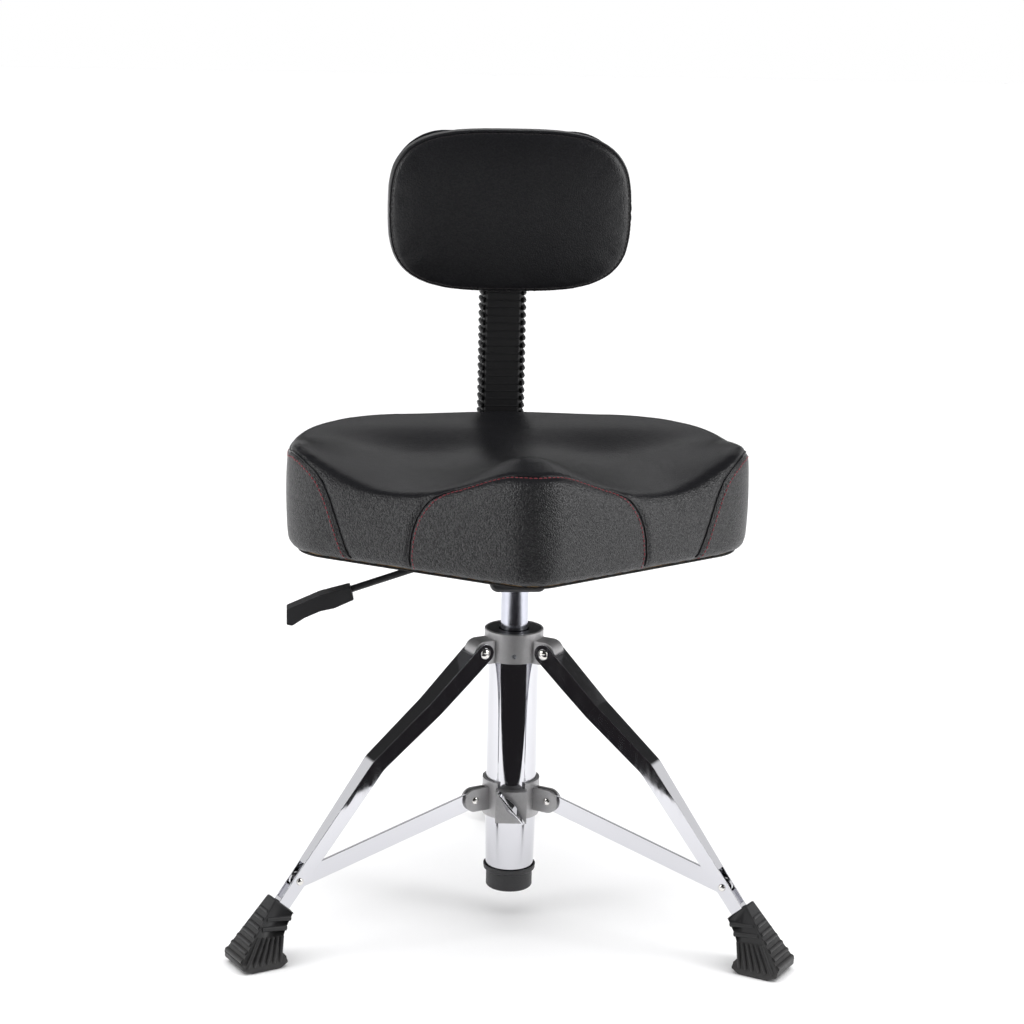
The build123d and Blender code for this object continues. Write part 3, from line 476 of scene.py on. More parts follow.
def linked(tree, kind, inputs=None, **settings):
    """Add a node, set it, and wire or fill its inputs by name or number."""
    node = tree.nodes.new(kind)
    for key, value in settings.items():
        setattr(node, key, value)
    for key, value in (inputs or {}).items():
        if isinstance(value, bpy.types.NodeSocket):
            tree.links.new(value, node.inputs[key])
        else:
            node.inputs[key].default_value = value
    return node


def baked(tree, mesh, values, name):
    """Run a tree on a mesh with values by input name, and return the resulting plain mesh."""
    carrier = placed(name, mesh)
    modifier = carrier.modifiers.new("tree", "NODES")
    modifier.node_group = tree
    identifiers = {s.name: s.identifier for s in tree.interface.items_tree if s.in_out == "INPUT"}
    for label, value in values.items():
        modifier[identifiers[label]] = value
    result = settled(carrier)
    result.name = name
    bpy.data.objects.remove(carrier)
    return result


# %% What the trees share
def painted_end(tree, given, result, pieces):
    """The end of every tree: real pieces, shaded smooth, in the material it is given."""
    real = linked(tree, "GeometryNodeRealizeInstances", {"Geometry": pieces})
    smooth = linked(tree, "GeometryNodeSetShadeSmooth", {"Geometry": real.outputs["Geometry"]})
    painted = linked(tree, "GeometryNodeSetMaterial",
                     {"Geometry": smooth.outputs["Geometry"], "Material": given.outputs["Material"]})
    tree.links.new(painted.outputs["Geometry"], result.inputs["Geometry"])
    return tree


def tube_along(tree, given):
    """A round cord on every edge of the mesh that the tree is given."""
    line = linked(tree, "GeometryNodeMeshToCurve", {"Mesh": given.outputs["Geometry"]})
    circle = linked(tree, "GeometryNodeCurvePrimitiveCircle",
                    {"Resolution": given.outputs["Sides"], "Radius": given.outputs["Radius"]})
    return linked(tree, "GeometryNodeCurveToMesh", {
        "Curve": line.outputs["Curve"], "Profile Curve": circle.outputs["Curve"], "Fill Caps": True,
    }).outputs["Mesh"]


def balls_on(tree, given, points, along, half_length, segments, rings):
    """Balls on some points, as thick as the tree's radius and longer or flatter along a direction."""
    turned = linked(tree, "FunctionNodeAlignRotationToVector", {"Vector": along}, axis="Z")
    ball = linked(tree, "GeometryNodeMeshUVSphere", {"Segments": segments, "Rings": rings, "Radius": 1.0})
    size = linked(tree, "ShaderNodeCombineXYZ", {
        "X": given.outputs["Radius"], "Y": given.outputs["Radius"], "Z": half_length,
    })
    return linked(tree, "GeometryNodeInstanceOnPoints", {
        "Points": points, "Instance": ball.outputs["Mesh"],
        "Rotation": turned.outputs["Rotation"], "Scale": size.outputs["Vector"],
    }).outputs["Instances"]


# %% The trees for tubes and stitches
def tubes_tree():
    tree, given, result = new_tree("tubes", [
        ("Radius", "NodeSocketFloat", 0.001), ("Sides", "NodeSocketInt", 8),
        ("Material", "NodeSocketMaterial", None),
    ])
    return painted_end(tree, given, result, tube_along(tree, given))


def stitches_tree():
    tree, given, result = new_tree("stitches", [
        ("Pitch", "NodeSocketFloat", 0.004), ("Length", "NodeSocketFloat", 0.003),
        ("Radius", "NodeSocketFloat", 0.0004), ("Material", "NodeSocketMaterial", None),
    ])
    line = linked(tree, "GeometryNodeMeshToCurve", {"Mesh": given.outputs["Geometry"]})
    spaced = linked(tree, "GeometryNodeResampleCurve",
                    {"Curve": line.outputs["Curve"], "Length": given.outputs["Pitch"]}, mode="LENGTH")
    tangent = linked(tree, "GeometryNodeInputTangent")
    half = linked(tree, "ShaderNodeMath", {0: given.outputs["Length"], 1: 0.5}, operation="MULTIPLY")
    threads = balls_on(tree, given, spaced.outputs["Curve"], tangent.outputs["Tangent"], half.outputs[0], 6, 6)
    return painted_end(tree, given, result, threads)


tubes = tubes_tree()
stitches = stitches_tree()
print("trees:", tubes.name, "and", stitches.name)


# %% Guides for the trees, and joining what they make
def guide_mesh(lines, closed=False):
    """Mesh of bare edges: each line is a list of points that the tree will follow."""
    points = []
    edges = []
    for line in lines:
        start = len(points)
        points += [tuple(p) for p in line]
        edges += [(start + i, start + i + 1) for i in range(len(line) - 1)]
        if closed:
            edges.append((len(points) - 1, start))
    mesh = bpy.data.meshes.new("guide")
    mesh.from_pydata(points, edges, [])
    return mesh


def joined(meshes, name):
    """One mesh from several, keeping their materials and shading."""
    parts = [placed("part", mesh) for mesh in meshes]
    with bpy.context.temp_override(active_object=parts[0], selected_editable_objects=parts, object=parts[0]):
        bpy.ops.object.join()
    whole = parts[0].data
    whole.name = name
    bpy.data.objects.remove(parts[0])
    return whole


# %% [markdown]
# ## The seat's plan
# Seen from above the seat is a blunt nose, two wide flanks and a round rear: six corners with
# generous roundings. We walk that outline once and space points evenly along it, so that
# every later ring of the cushion has the same number of points.

# %% Outline of the seat
SEAT_CORNERS = [(0, -203, 48), (231, -52, 62), (231, 168, 130), (0, 192, 300), (-231, 168, 130), (-231, -52, 62)]
AROUND = 288


def rounded_outline(corners, count):
    """Evenly spaced points, in millimetres, along a closed outline with rounded corners."""
    points = []
    total = len(corners)
    for i, (x, y, radius) in enumerate(corners):
        here = Vector((x, y))
        back = (Vector(corners[i - 1][:2]) - here).normalized()
        ahead = (Vector(corners[(i + 1) % total][:2]) - here).normalized()
        half = back.angle(ahead) / 2
        centre = here + (back + ahead).normalized() * radius / math.sin(half)
        first = here + back * radius / math.tan(half) - centre
        last = here + ahead * radius / math.tan(half) - centre
        sweep = first.angle_signed(last)
        for k in range(25):
            turn = -sweep * k / 24
            points.append(centre + Matrix.Rotation(turn, 2) @ first)
    points.append(points[0])
    path = np.array([tuple(p) for p in points])
    reach = np.concatenate([[0], np.cumsum(np.linalg.norm(np.diff(path, axis=0), axis=1))])
    even = np.linspace(0, reach[-1], count, endpoint=False)
    return np.stack([np.interp(even, reach, path[:, 0]), np.interp(even, reach, path[:, 1])], 1)


def outward_normals(outline):
    """Unit normals of a closed outline that runs anticlockwise, pointing out."""
    along = np.roll(outline, -1, 0) - np.roll(outline, 1, 0)
    along /= np.linalg.norm(along, axis=1)[:, None]
    return np.stack([along[:, 1], -along[:, 0]], 1)


seat_outline = rounded_outline(SEAT_CORNERS, AROUND)
seat_normals = outward_normals(seat_outline)
print("seat plan, mm:", seat_outline.min(0).round(1), seat_outline.max(0).round(1))

# %% [markdown]
# ## The seat's saddle
# The top isn't flat. A ridge rises between the thighs and runs out over the nose, two hollows
# take the weight, the front rim dips under each thigh and curls up at the flanks, a shallow
# channel runs back between the hollows, and the rear rim stands up.
# Soft hills and hollows like these are sums of bell curves, each with a place, a width and a
# height, on a base that climbs gently towards the rear.

# %% Height of the top
def bell(distance, width):
    return np.exp(-(distance / width) ** 2)


def seat_top(x, y):
    """Height of the seat's top surface, in millimetres."""
    base = 484 + 0.045 * (y + 100)
    ridge_width = 47 + 0.13 * np.clip(-y - 60, 0, 200)
    ridge_along = np.where(y < -140, bell(y + 140, 95), bell(y + 140, 78))
    ridge = 34 * bell(x, ridge_width) * ridge_along
    hollows = -13 * bell(np.abs(x) - 88, 66) * bell(y - 22, 84)
    thighs = -8 * bell(np.abs(x) - 145, 50) * bell(y + 95, 70)
    wings = 21 * bell(np.abs(x) - 236, 56) * bell(y + 36, 84)
    channel = -6 * bell(x, 26) * eased(y, -40, 40) * (1 - eased(y, 120, 175))
    rear = 6 * eased(y, 45, 120)
    return base + ridge + hollows + thighs + wings + channel + rear


# %% [markdown]
# ## The stuffed seat
# The raw shape is a stack of rings: round the underside's recess for the plywood, out round
# the lower edge, up the wall, over a rim that is tight in front and soft at the rear, and in
# over the top to the middle. It is remeshed to even squares and then blown up a little as
# cloth, so the panels crown between their seams as foam pushes leather out.

# %% Raw shape of the seat
SEAT_BOTTOM = 400.0
RECESS_INSET = 13.6
RECESS_TOP = 412.7
LOWER_EDGE = 11.0
TOP_RINGS = 44


def rim_radius(y):
    """Rounding from the wall to the top: tighter at the front, softer at the rear."""
    return 11 + 9 * eased(y, -60, 150)


def seat_ring(inset, height, swell=0.0):
    """Ring of the seat at an inset from its plan; inset and height may vary round it."""
    flat = seat_outline - seat_normals * (inset - swell)[:, None]
    return np.column_stack([flat, height])


def seat_rings():
    ones = np.ones(AROUND)
    rings = [seat_ring(RECESS_INSET * ones, RECESS_TOP * ones), seat_ring(RECESS_INSET * ones, SEAT_BOTTOM * ones)]
    for turn in np.linspace(0, math.pi / 2, 5):
        inset = LOWER_EDGE * (1 - math.sin(turn))
        rings.append(seat_ring(inset * ones, (SEAT_BOTTOM + LOWER_EDGE * (1 - math.cos(turn))) * ones))
    radius = rim_radius(seat_outline[:, 1])
    shoulder = seat_top(*(seat_outline - seat_normals * radius[:, None]).T) - radius
    foot = SEAT_BOTTOM + LOWER_EDGE
    for share in np.linspace(0.08, 0.92, 12):
        height = foot + (shoulder - foot) * share
        rings.append(seat_ring(0 * ones, height, 1.5 * math.sin(math.pi * share) * ones))
    for turn in np.linspace(0, math.pi / 2, 8):
        inset = radius * (1 - math.cos(turn))
        flat = seat_outline - seat_normals * inset[:, None]
        rings.append(np.column_stack([flat, shoulder + radius * math.sin(turn)]))
    rim = rings[-1][:, :2]
    for share in np.linspace(1, 0.02, TOP_RINGS)[1:]:
        flat = rim * share
        rings.append(np.column_stack([flat, seat_top(flat[:, 0], flat[:, 1])]))
    return [ring * MM for ring in rings]


seat_raw = mesh_of(*bridged(seat_rings()), name="seat_raw")
print("raw seat:", len(seat_raw.vertices), "points")

# %% [markdown]
# ## Seams
# The cover is sewn from four panels: a top that folds down over the front, an arched nose
# panel let into it, and a band that runs from one front corner round the back to the other.
# A seam is easiest to lay as a few given points and then to drop onto the nearest place of
# the cushion, so it follows whatever shape the stuffing gives.

# %% Laying lines on a surface
def smooth_line(points, step):
    """Even points along a smooth curve through given ones (Catmull-Rom), in metres."""
    laid = [Vector(p) * MM for p in points]
    laid = [laid[0] * 2 - laid[1]] + laid + [laid[-1] * 2 - laid[-2]]
    path = []
    for a, b, c, d in zip(laid, laid[1:], laid[2:], laid[3:]):
        for k in range(16):
            t = k / 16
            path.append(0.5 * ((2 * b) + (c - a) * t + (2 * a - 5 * b + 4 * c - d) * t * t
                               + (3 * b - a - 3 * c + d) * t ** 3))
    path.append(laid[-2])
    flat = np.array([tuple(p) for p in path])
    reach = np.concatenate([[0], np.cumsum(np.linalg.norm(np.diff(flat, axis=0), axis=1))])
    even = np.linspace(0, reach[-1], max(2, int(reach[-1] / step)))
    return np.stack([np.interp(even, reach, flat[:, i]) for i in range(3)], 1)


def tree_of(mesh):
    work = bmesh.new()
    work.from_mesh(mesh)
    found = BVHTree.FromBMesh(work)
    work.free()
    return found


def dropped(line, surface, lift=0.0):
    """The line moved to the nearest places of a surface, and lifted off it by some metres."""
    moved = []
    for point in line:
        place, normal, _, _ = surface.find_nearest(Vector(point))
        moved.append(place + normal * lift)
    return moved


def beside(line, surface, distance):
    """A second line at a distance to the left of the first, as seen from outside."""
    moved = []
    for i, point in enumerate(line):
        along = (Vector(line[min(i + 1, len(line) - 1)]) - Vector(line[max(i - 1, 0)])).normalized()
        _, normal, _, _ = surface.find_nearest(Vector(point))
        place, _, _, _ = surface.find_nearest(Vector(point) + normal.cross(along) * distance)
        moved.append(place)
    return moved


def mirrored(points):
    return [(-x, y, z) for x, y, z in reversed(points)]


# Half of the nose arch from its crest down to the lower edge, and half of the band's seam
# from the middle of the rear, along the rim, and down the front corner
NOSE_ARCH = [(0, -181, 509), (30, -168, 505), (56, -155, 497), (76, -144, 488), (91, -139, 480), (102, -136, 469),
             (110, -131, 452), (115, -128, 428), (116, -127, 403)]
BAND_SEAM = [(0, 190, 490), (60, 189, 490), (120, 182, 490), (174, 158, 488), (212, 110, 485), (228, 60, 487),
             (230, 20, 492), (230, -15, 498), (225, -43, 502), (212, -61, 493), (200, -71, 481), (191, -77, 463),
             (184, -82, 442), (178, -86, 422), (172, -90, 403)]
nose_seam = smooth_line(mirrored(NOSE_ARCH)[:-1] + NOSE_ARCH, 0.0015)
band_seam = smooth_line(mirrored(BAND_SEAM)[:-1] + BAND_SEAM, 0.0015)
print("seams:", len(nose_seam), len(band_seam), "points")


# %% [markdown]
# ## Blowing up a pad
# A pad is copied, remeshed to even squares and run as cloth for twenty frames with air
# pressure inside and no gravity. What must stay put is pinned: the underside and the seams.
# The swelling is scaled down to a few millimetres at most, then subdivided once, which
# leaves squares of about two millimetres that can carry a seam's groove.

# %% Cloth with pressure
def nearest_distance(points, line):
    """Distance of each point from a polyline's points, in metres."""
    best = np.full(len(points), 1e9)
    line = np.asarray([tuple(p) for p in line])
    for start in range(0, len(line), 64):
        chunk = line[start:start + 64]
        gaps = np.linalg.norm(points[:, None, :] - chunk[None, :, :], axis=2).min(1)
        best = np.minimum(best, gaps)
    return best


def coordinates(mesh, what="co"):
    """Each vertex's place, or with "normal" its normal, as the rows of an array."""
    flat = np.empty(len(mesh.vertices) * 3)
    mesh.vertices.foreach_get(what, flat)
    return flat.reshape(-1, 3)


def stuffed(mesh, name, voxel, pressure, cap, pinned_where, frames=20):
    """Remesh, inflate and subdivide a raw pad; returns an object with a plain mesh."""
    pad = placed(name, mesh)
    remesh = pad.modifiers.new("remesh", "REMESH")
    remesh.mode = "VOXEL"
    remesh.voxel_size = voxel
    pad.data = settled(pad)
    pad.modifiers.clear()
    relax(pad.data, 2)
    start = coordinates(pad.data)
    pinned = pinned_where(start)
    group = pad.vertex_groups.new(name="pinned")
    group.add([int(i) for i in np.nonzero(pinned)[0]], 1.0, "REPLACE")
    cloth = pad.modifiers.new("cloth", "CLOTH")
    cloth.settings.quality = 5
    cloth.settings.mass = 0.3
    cloth.settings.use_pressure = True
    cloth.settings.uniform_pressure_force = pressure
    cloth.settings.effector_weights.gravity = 0
    cloth.settings.tension_stiffness = 20
    cloth.settings.compression_stiffness = 20
    cloth.settings.bending_stiffness = 2
    cloth.settings.vertex_group_mass = "pinned"
    scene = bpy.context.scene
    scene.frame_start, scene.frame_end = 1, frames
    for number in range(1, frames + 1):
        scene.frame_set(number)
    moved = coordinates(settled(pad)) - start
    pad.modifiers.clear()
    scene.frame_set(1)
    furthest = float(np.linalg.norm(moved, axis=1).max())
    kept = moved * min(1.0, cap / furthest)
    pad.data.vertices.foreach_set("co", (start + kept).ravel())
    print(name, "swelled by at most", round(furthest * 1000, 1), "mm, scaled to", cap * 1000)
    relax(pad.data, 2)
    finer = pad.modifiers.new("finer", "SUBSURF")
    finer.levels = finer.render_levels = 1
    pad.data = settled(pad)
    pad.modifiers.clear()
    pad.vertex_groups.clear()
    return pad


# %% Smoothing, grooves and grain
def relax(mesh, times):
    """Take the stair steps of a remesh out of a mesh, without shrinking it much."""
    work = bmesh.new()
    work.from_mesh(mesh)
    for _ in range(times):
        bmesh.ops.smooth_vert(work, verts=work.verts, factor=0.5,
                              use_axis_x=True, use_axis_y=True, use_axis_z=True)
    work.to_mesh(mesh)
    work.free()


def groove(mesh, lines, depth, width):
    """Press grooves into a cushion along some lines, as the stitches of a seam pull it in."""
    points = coordinates(mesh)
    normals = coordinates(mesh, "normal")
    sunk = np.zeros(len(points))
    for line in lines:
        gap = nearest_distance(points, line)
        sunk = np.maximum(sunk, depth * np.exp(-(gap / width) ** 2))
    mesh.vertices.foreach_set("co", (points - normals * sunk[:, None]).ravel())
    mesh.update()


def grain_on(mesh, value):
    """Store how strongly the leather's grain shows at each point."""
    attribute = mesh.attributes.new("grain", "FLOAT", "POINT")
    attribute.data.foreach_set("value", value.astype(np.float32))


# %% Stuff the seat
raw_surface = tree_of(seat_raw)
nose_line = dropped(nose_seam, raw_surface)
band_line = dropped(band_seam, raw_surface)
PINNED_BELOW = (RECESS_TOP + 1) * MM


def seat_pins(points):
    """Points that stay: the recess and lower edge, and a strip along each seam."""
    under = points[:, 2] < PINNED_BELOW
    sewn = np.minimum(nearest_distance(points, nose_line[::4]), nearest_distance(points, band_line[::4])) < 0.004
    return under | sewn


seat = stuffed(seat_raw, "seat_cover", 0.005, 4.0, 0.0024, seat_pins)
groove(seat.data, [nose_line, band_line], 0.0016, 0.0028)
upward = coordinates(seat.data, "normal")[:, 2]
grain_on(seat.data, 1.0 - 0.7 * eased(upward, 0.45, 0.9))
print("seat cover:", len(seat.data.polygons), "faces")

# %% [markdown]
# ## Piping and stitches
# A thin black piping fills each seam, and a row of dark red stitches runs beside it on one
# side, four to six millimetres off. The piping is a tube on the seam's line, sunk to half
# its thickness; the stitches are laid by the stitch tree along a line beside it.

# %% Sew the seat
STITCH_PITCH, STITCH_LENGTH = 0.0046, 0.0036
BESIDE_NOSE, BESIDE_BAND = -0.0042, 0.0062      # inside the nose panel, and outside the band's seam


def sewing(line, surface, side, name):
    """Piping on a line and a row of stitches beside it; returns the meshes."""
    resting = [Vector(p) for p in dropped(line, surface, 0.0003)]
    piping = baked(tubes, guide_mesh([resting[::2]]), {
        "Radius": 0.0011, "Sides": 8, "Material": finishes["seat_leather"],
    }, f"{name}_piping")
    row = beside(line, surface, side)
    threads = baked(stitches, guide_mesh([row[::2]]), {
        "Pitch": STITCH_PITCH, "Length": STITCH_LENGTH, "Radius": 0.0007, "Material": red_thread,
    }, f"{name}_stitches")
    return piping, threads


seat_surface = tree_of(seat.data)
nose_piping, nose_threads = sewing(nose_line, seat_surface, BESIDE_NOSE, "nose")
band_piping, band_threads = sewing(band_line, seat_surface, BESIDE_BAND, "band")
piping_mesh = joined([nose_piping, band_piping], "seat_piping")
thread_mesh = joined([nose_threads, band_threads], "seat_stitches")
seat.data.materials.clear()
seat.data.materials.append(finishes["seat_leather"])
seat.data.shade_smooth()
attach(seat, "lift")
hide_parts("seat_cushion")
piece_from("seat_piping", piping_mesh, "lift")
piece_from("seat_stitches", thread_mesh, "lift")
FACES_A_STITCH = 36
print("stitches on the seat:", len(thread_mesh.polygons) // FACES_A_STITCH)

# %% [markdown]
# ## The backrest's pad
# The pad is a wide rounded oblong whose sides swell a little: a superellipse, between an
# ellipse and a rectangle. A front panel meets a narrow side band at a seam just behind the
# front edge, and the band closes in a short seam under the pad.

# %% Raw shape of the backrest
PAD_HALF = (127.0, 84.0)
PAD_MIDDLE = 719.0
PAD_FRONT = 128.0
PAD_REAR = 176.0
PAD_SQUARENESS = 3.3
PAD_REAR_EDGE = 13.0
PAD_AROUND = 200


def pad_ring(inset, depth):
    """Ring of the pad at an inset from its outline, at a depth along Y."""
    ring = []
    for k in range(PAD_AROUND):
        turn = 2 * math.pi * k / PAD_AROUND
        c, s = math.cos(turn), math.sin(turn)
        x = (PAD_HALF[0] - inset) * math.copysign(abs(c) ** (2 / PAD_SQUARENESS), c)
        z = (PAD_HALF[1] - inset) * math.copysign(abs(s) ** (2 / PAD_SQUARENESS), s)
        ring.append((x * MM, depth * MM, (PAD_MIDDLE + z) * MM))
    return ring


def pad_rings():
    rings = []
    edge = 7.0
    for share in np.linspace(0.03, 1, 22)[:-1]:
        inset = PAD_HALF[1] * (1 - share) + edge * share
        rings.append(pad_ring(inset, PAD_FRONT + 3 * share ** 4))
    for turn in np.linspace(0, math.pi / 2, 7):
        rings.append(pad_ring(edge * (1 - math.sin(turn)), PAD_FRONT + 3 + edge * (1 - math.cos(turn))))
    for depth in np.linspace(PAD_FRONT + 14, PAD_REAR - PAD_REAR_EDGE - 2, 6):
        rings.append(pad_ring(0, depth))
    for turn in np.linspace(0, math.pi / 2, 7):
        depth = PAD_REAR - PAD_REAR_EDGE * (1 - math.sin(turn))
        rings.append(pad_ring(PAD_REAR_EDGE * (1 - math.cos(turn)), depth))
    for share in np.linspace(0.2, 0.95, 8):
        rings.append(pad_ring(PAD_REAR_EDGE + (PAD_HALF[1] - PAD_REAR_EDGE) * share, PAD_REAR))
    return rings


pad_raw = mesh_of(*bridged(pad_rings()), name="pad_raw")
pad_surface = tree_of(pad_raw)
PAD_SEAM_INSET = 1.0
PAD_SEAM_DEPTH = 7.5
pad_seam = dropped([Vector(p) for p in pad_ring(PAD_SEAM_INSET, PAD_FRONT + PAD_SEAM_DEPTH)], pad_surface)


# %% Stuff the backrest
def pad_pins(points):
    """Points that stay: the rear face, and a strip along the front seam."""
    behind = points[:, 1] > (PAD_REAR - 6) * MM
    return behind | (nearest_distance(points, pad_seam) < 0.003)


pad = stuffed(pad_raw, "back_cover", 0.0045, 4.0, 0.003, pad_pins)
closing = smooth_line([(-12, PAD_FRONT + 10, 634), (-12, PAD_FRONT + 25, 634), (-12, PAD_REAR - 2, 634)], 0.0015)
closing_line = dropped(closing, tree_of(pad.data))
groove(pad.data, [pad_seam + [pad_seam[0]], closing_line], 0.0014, 0.0024)
grain_on(pad.data, np.full(len(pad.data.vertices), 0.32))
pad_surface = tree_of(pad.data)


# %% Sew the backrest
def loop_points(line, step):
    """A closed line resampled evenly."""
    path = np.array([tuple(p) for p in [*line, line[0]]])
    reach = np.concatenate([[0], np.cumsum(np.linalg.norm(np.diff(path, axis=0), axis=1))])
    even = np.linspace(0, reach[-1], int(reach[-1] / step), endpoint=False)
    return [Vector(p) for p in np.stack([np.interp(even, reach, path[:, i]) for i in range(3)], 1)]


pad_loop = loop_points(pad_seam, 0.002)
pad_piping = baked(tubes, guide_mesh([dropped(pad_loop, pad_surface, 0.0003)], closed=True), {
    "Radius": 0.0010, "Sides": 8, "Material": finishes["seat_leather"],
}, "pad_piping")
closing_cord = baked(tubes, guide_mesh([dropped(closing_line, pad_surface, 0.0002)]), {
    "Radius": 0.0007, "Sides": 6, "Material": finishes["seat_leather"],
}, "closing_cord")
pad_row = beside([*pad_loop, pad_loop[0]], pad_surface, 0.0035)
black_thread = moulding("black_thread", (0.02, 0.017, 0.018), 0.5, 0.7, 2400)
pad_threads = baked(stitches, guide_mesh([pad_row]), {
    "Pitch": STITCH_PITCH, "Length": STITCH_LENGTH, "Radius": 0.0006, "Material": black_thread,
}, "pad_stitches")
pad.data.materials.clear()
pad.data.materials.append(finishes["seat_leather"])
pad.data.shade_smooth()
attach(pad, "back_pad")
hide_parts("back_cushion")
piece_from("back_piping", joined([pad_piping, closing_cord], "back_piping"), "back_pad")
piece_from("back_stitches", pad_threads, "back_pad")
print("backrest cover:", len(pad.data.polygons), "faces")

# %% [markdown]
# ## The bellows
# A ribbed rubber sleeve hides the backrest's bar. Each rib is a round bead that wraps the
# sides and the back; in front the beads give way to a flat panel with shallow bars across
# it, and the top of the panel is plain. Beads and bars repeat at one pitch, so a tree lays
# both. The whole sleeve then stretches as the backrest rises.

# %% Sleeve and panel
BAR_Y = 212.0
SLEEVE_LOW, SLEEVE_HIGH = 432.4, 654.4
RIB_PITCH = 8.2
CORE = (21.5, 12.0)             # half width and half depth inside the beads
PANEL_HALF = 18.4
PANEL_FRONT = -14.6


def sleeve_mesh():
    """Plain rounded-oblong tube with a wall, closed at both ends by its thickness."""
    outer, inner = [], []
    for height in np.linspace(SLEEVE_LOW, SLEEVE_HIGH, 40):
        for ring, shrink in ((outer, 0.0), (inner, 1.6)):
            points = []
            for x, y in rounded_outline([(sx * (CORE[0] - shrink), sy * (CORE[1] - shrink), 4.0 - shrink)
                                         for sx, sy in ((-1, -1), (1, -1), (1, 1), (-1, 1))], 48):
                points.append((x * MM, (BAR_Y + y) * MM, height * MM))
            ring.append(points)
    points, faces = bridged(outer + inner[::-1] + [outer[0]], False, False)
    return mesh_of(points, faces, "sleeve")


def panel_mesh():
    """Flat panel with rounded long edges that stands on the sleeve's front."""
    depth = (PANEL_FRONT - CORE[1]) / 2 + 0.5
    reach = (-CORE[1] + 1.0 - PANEL_FRONT) / 2
    rings = []
    for height in np.linspace(SLEEVE_LOW, SLEEVE_HIGH, 24):
        rings.append([(x * MM, (BAR_Y + depth + y) * MM, height * MM)
                      for x, y in rounded_outline([(-PANEL_HALF, -reach, 0.9), (PANEL_HALF, -reach, 0.9),
                                                   (PANEL_HALF, reach, 0.3), (-PANEL_HALF, reach, 0.3)], 64)])
    return mesh_of(*bridged(rings), name="panel")


# %% Beads and bars at one pitch
def repeat_tree():
    """Copies of a tube or bar up the sleeve at one pitch."""
    tree, given, result = new_tree("ribs_up_a_sleeve", [
        ("Count", "NodeSocketInt", 20), ("Pitch", "NodeSocketFloat", 0.008), ("Start", "NodeSocketFloat", 0.4),
        ("Radius", "NodeSocketFloat", 0.002), ("Sides", "NodeSocketInt", 10),
        ("Material", "NodeSocketMaterial", None),
    ])
    rise = linked(tree, "ShaderNodeCombineXYZ", {"Z": given.outputs["Pitch"]})
    foot = linked(tree, "ShaderNodeCombineXYZ", {"Z": given.outputs["Start"]})
    places = linked(tree, "GeometryNodeMeshLine", {
        "Count": given.outputs["Count"], "Start Location": foot.outputs["Vector"],
        "Offset": rise.outputs["Vector"],
    })
    copies = linked(tree, "GeometryNodeInstanceOnPoints",
                    {"Points": places.outputs["Mesh"], "Instance": tube_along(tree, given)})
    return painted_end(tree, given, result, copies.outputs["Instances"])


ribs_up = repeat_tree()
rubber_skin = finishes["bellows_rubber"]
bead_path = [(x * MM, (BAR_Y + y) * MM, 0) for x, y in (
    (-20.6, -12.6), (-22.0, -11.6), (-22.4, -9), (-22.4, 8.6), (-20.6, 12.2), (-17.6, 13.0),
    (17.6, 13.0), (20.6, 12.2), (22.4, 8.6), (22.4, -9), (22.0, -11.6), (20.6, -12.6))]
bead_count = int((SLEEVE_HIGH - SLEEVE_LOW) / RIB_PITCH)
beads = baked(ribs_up, guide_mesh([bead_path]), {
    "Count": bead_count, "Pitch": RIB_PITCH * MM, "Start": (SLEEVE_LOW + 4) * MM, "Radius": 0.0028, "Sides": 10,
    "Material": rubber_skin,
}, "beads")
BAR_DEPTH = PANEL_FRONT + 1.3
bar_path = [(-PANEL_HALF * MM, (BAR_Y + BAR_DEPTH) * MM, 0), (PANEL_HALF * MM, (BAR_Y + BAR_DEPTH) * MM, 0)]
PLAIN_TOP = 24.0
bars = baked(ribs_up, guide_mesh([bar_path]), {
    "Count": int((SLEEVE_HIGH - SLEEVE_LOW - PLAIN_TOP) / RIB_PITCH), "Pitch": RIB_PITCH * MM,
    "Start": (SLEEVE_LOW + 4) * MM, "Radius": 0.0017, "Sides": 8, "Material": rubber_skin,
}, "bars")
# %% Put the bellows together
sleeve = sleeve_mesh()
panel = panel_mesh()
for shell in (sleeve, panel):
    shell.materials.append(rubber_skin)
bellows = placed("bellows", joined([sleeve, panel, beads, bars], "bellows"))
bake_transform(bellows, "back_bar", "back_pad",
         start=(0, BAR_Y * MM, SLEEVE_LOW * MM), end=(0, BAR_Y * MM, SLEEVE_HIGH * MM))
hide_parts("bar_bellows")
print("bellows:", bead_count, "beads,", len(bellows.data.polygons), "faces")

# %% [markdown]
# ## Ribbed feet
# Each foot is a moulded rubber boot. Its core is the CAD shape with generous roundings, let
# in by two millimetres below a plain block. Thick ribs cross the outer end from edge to
# edge, two more lie level on each flank, and six thin ones fan down from there to the sole.
# The dark channel at each corner is simply where no rib is. All ribs are guide lines in the
# foot's side view; one function puts them on the leaning flanks and the tube tree gives
# them their body.

# %% Guide lines of a foot's ribs
FOOT_SOLE_HALF, FOOT_TOP_HALF = 22.5, 8.5
FOOT_EDGE, FOOT_TOP = 9.0, 69.0
TOE_TOP, TOE_FOOT = (274.0, 68.0), (318.0, 12.0)
TOE_NORMAL = (0.786, 0.618)
LET_IN = 1.9
PROUD = 0.3


def flank_half(height):
    """Half width of a foot at a height, in millimetres."""
    share = min(max((height - FOOT_EDGE) / (FOOT_TOP - FOOT_EDGE), 0), 1)
    return FOOT_SOLE_HALF + (FOOT_TOP_HALF - FOOT_SOLE_HALF) * share


def between(a, b, share):
    return tuple(p + (q - p) * share for p, q in zip(a, b))


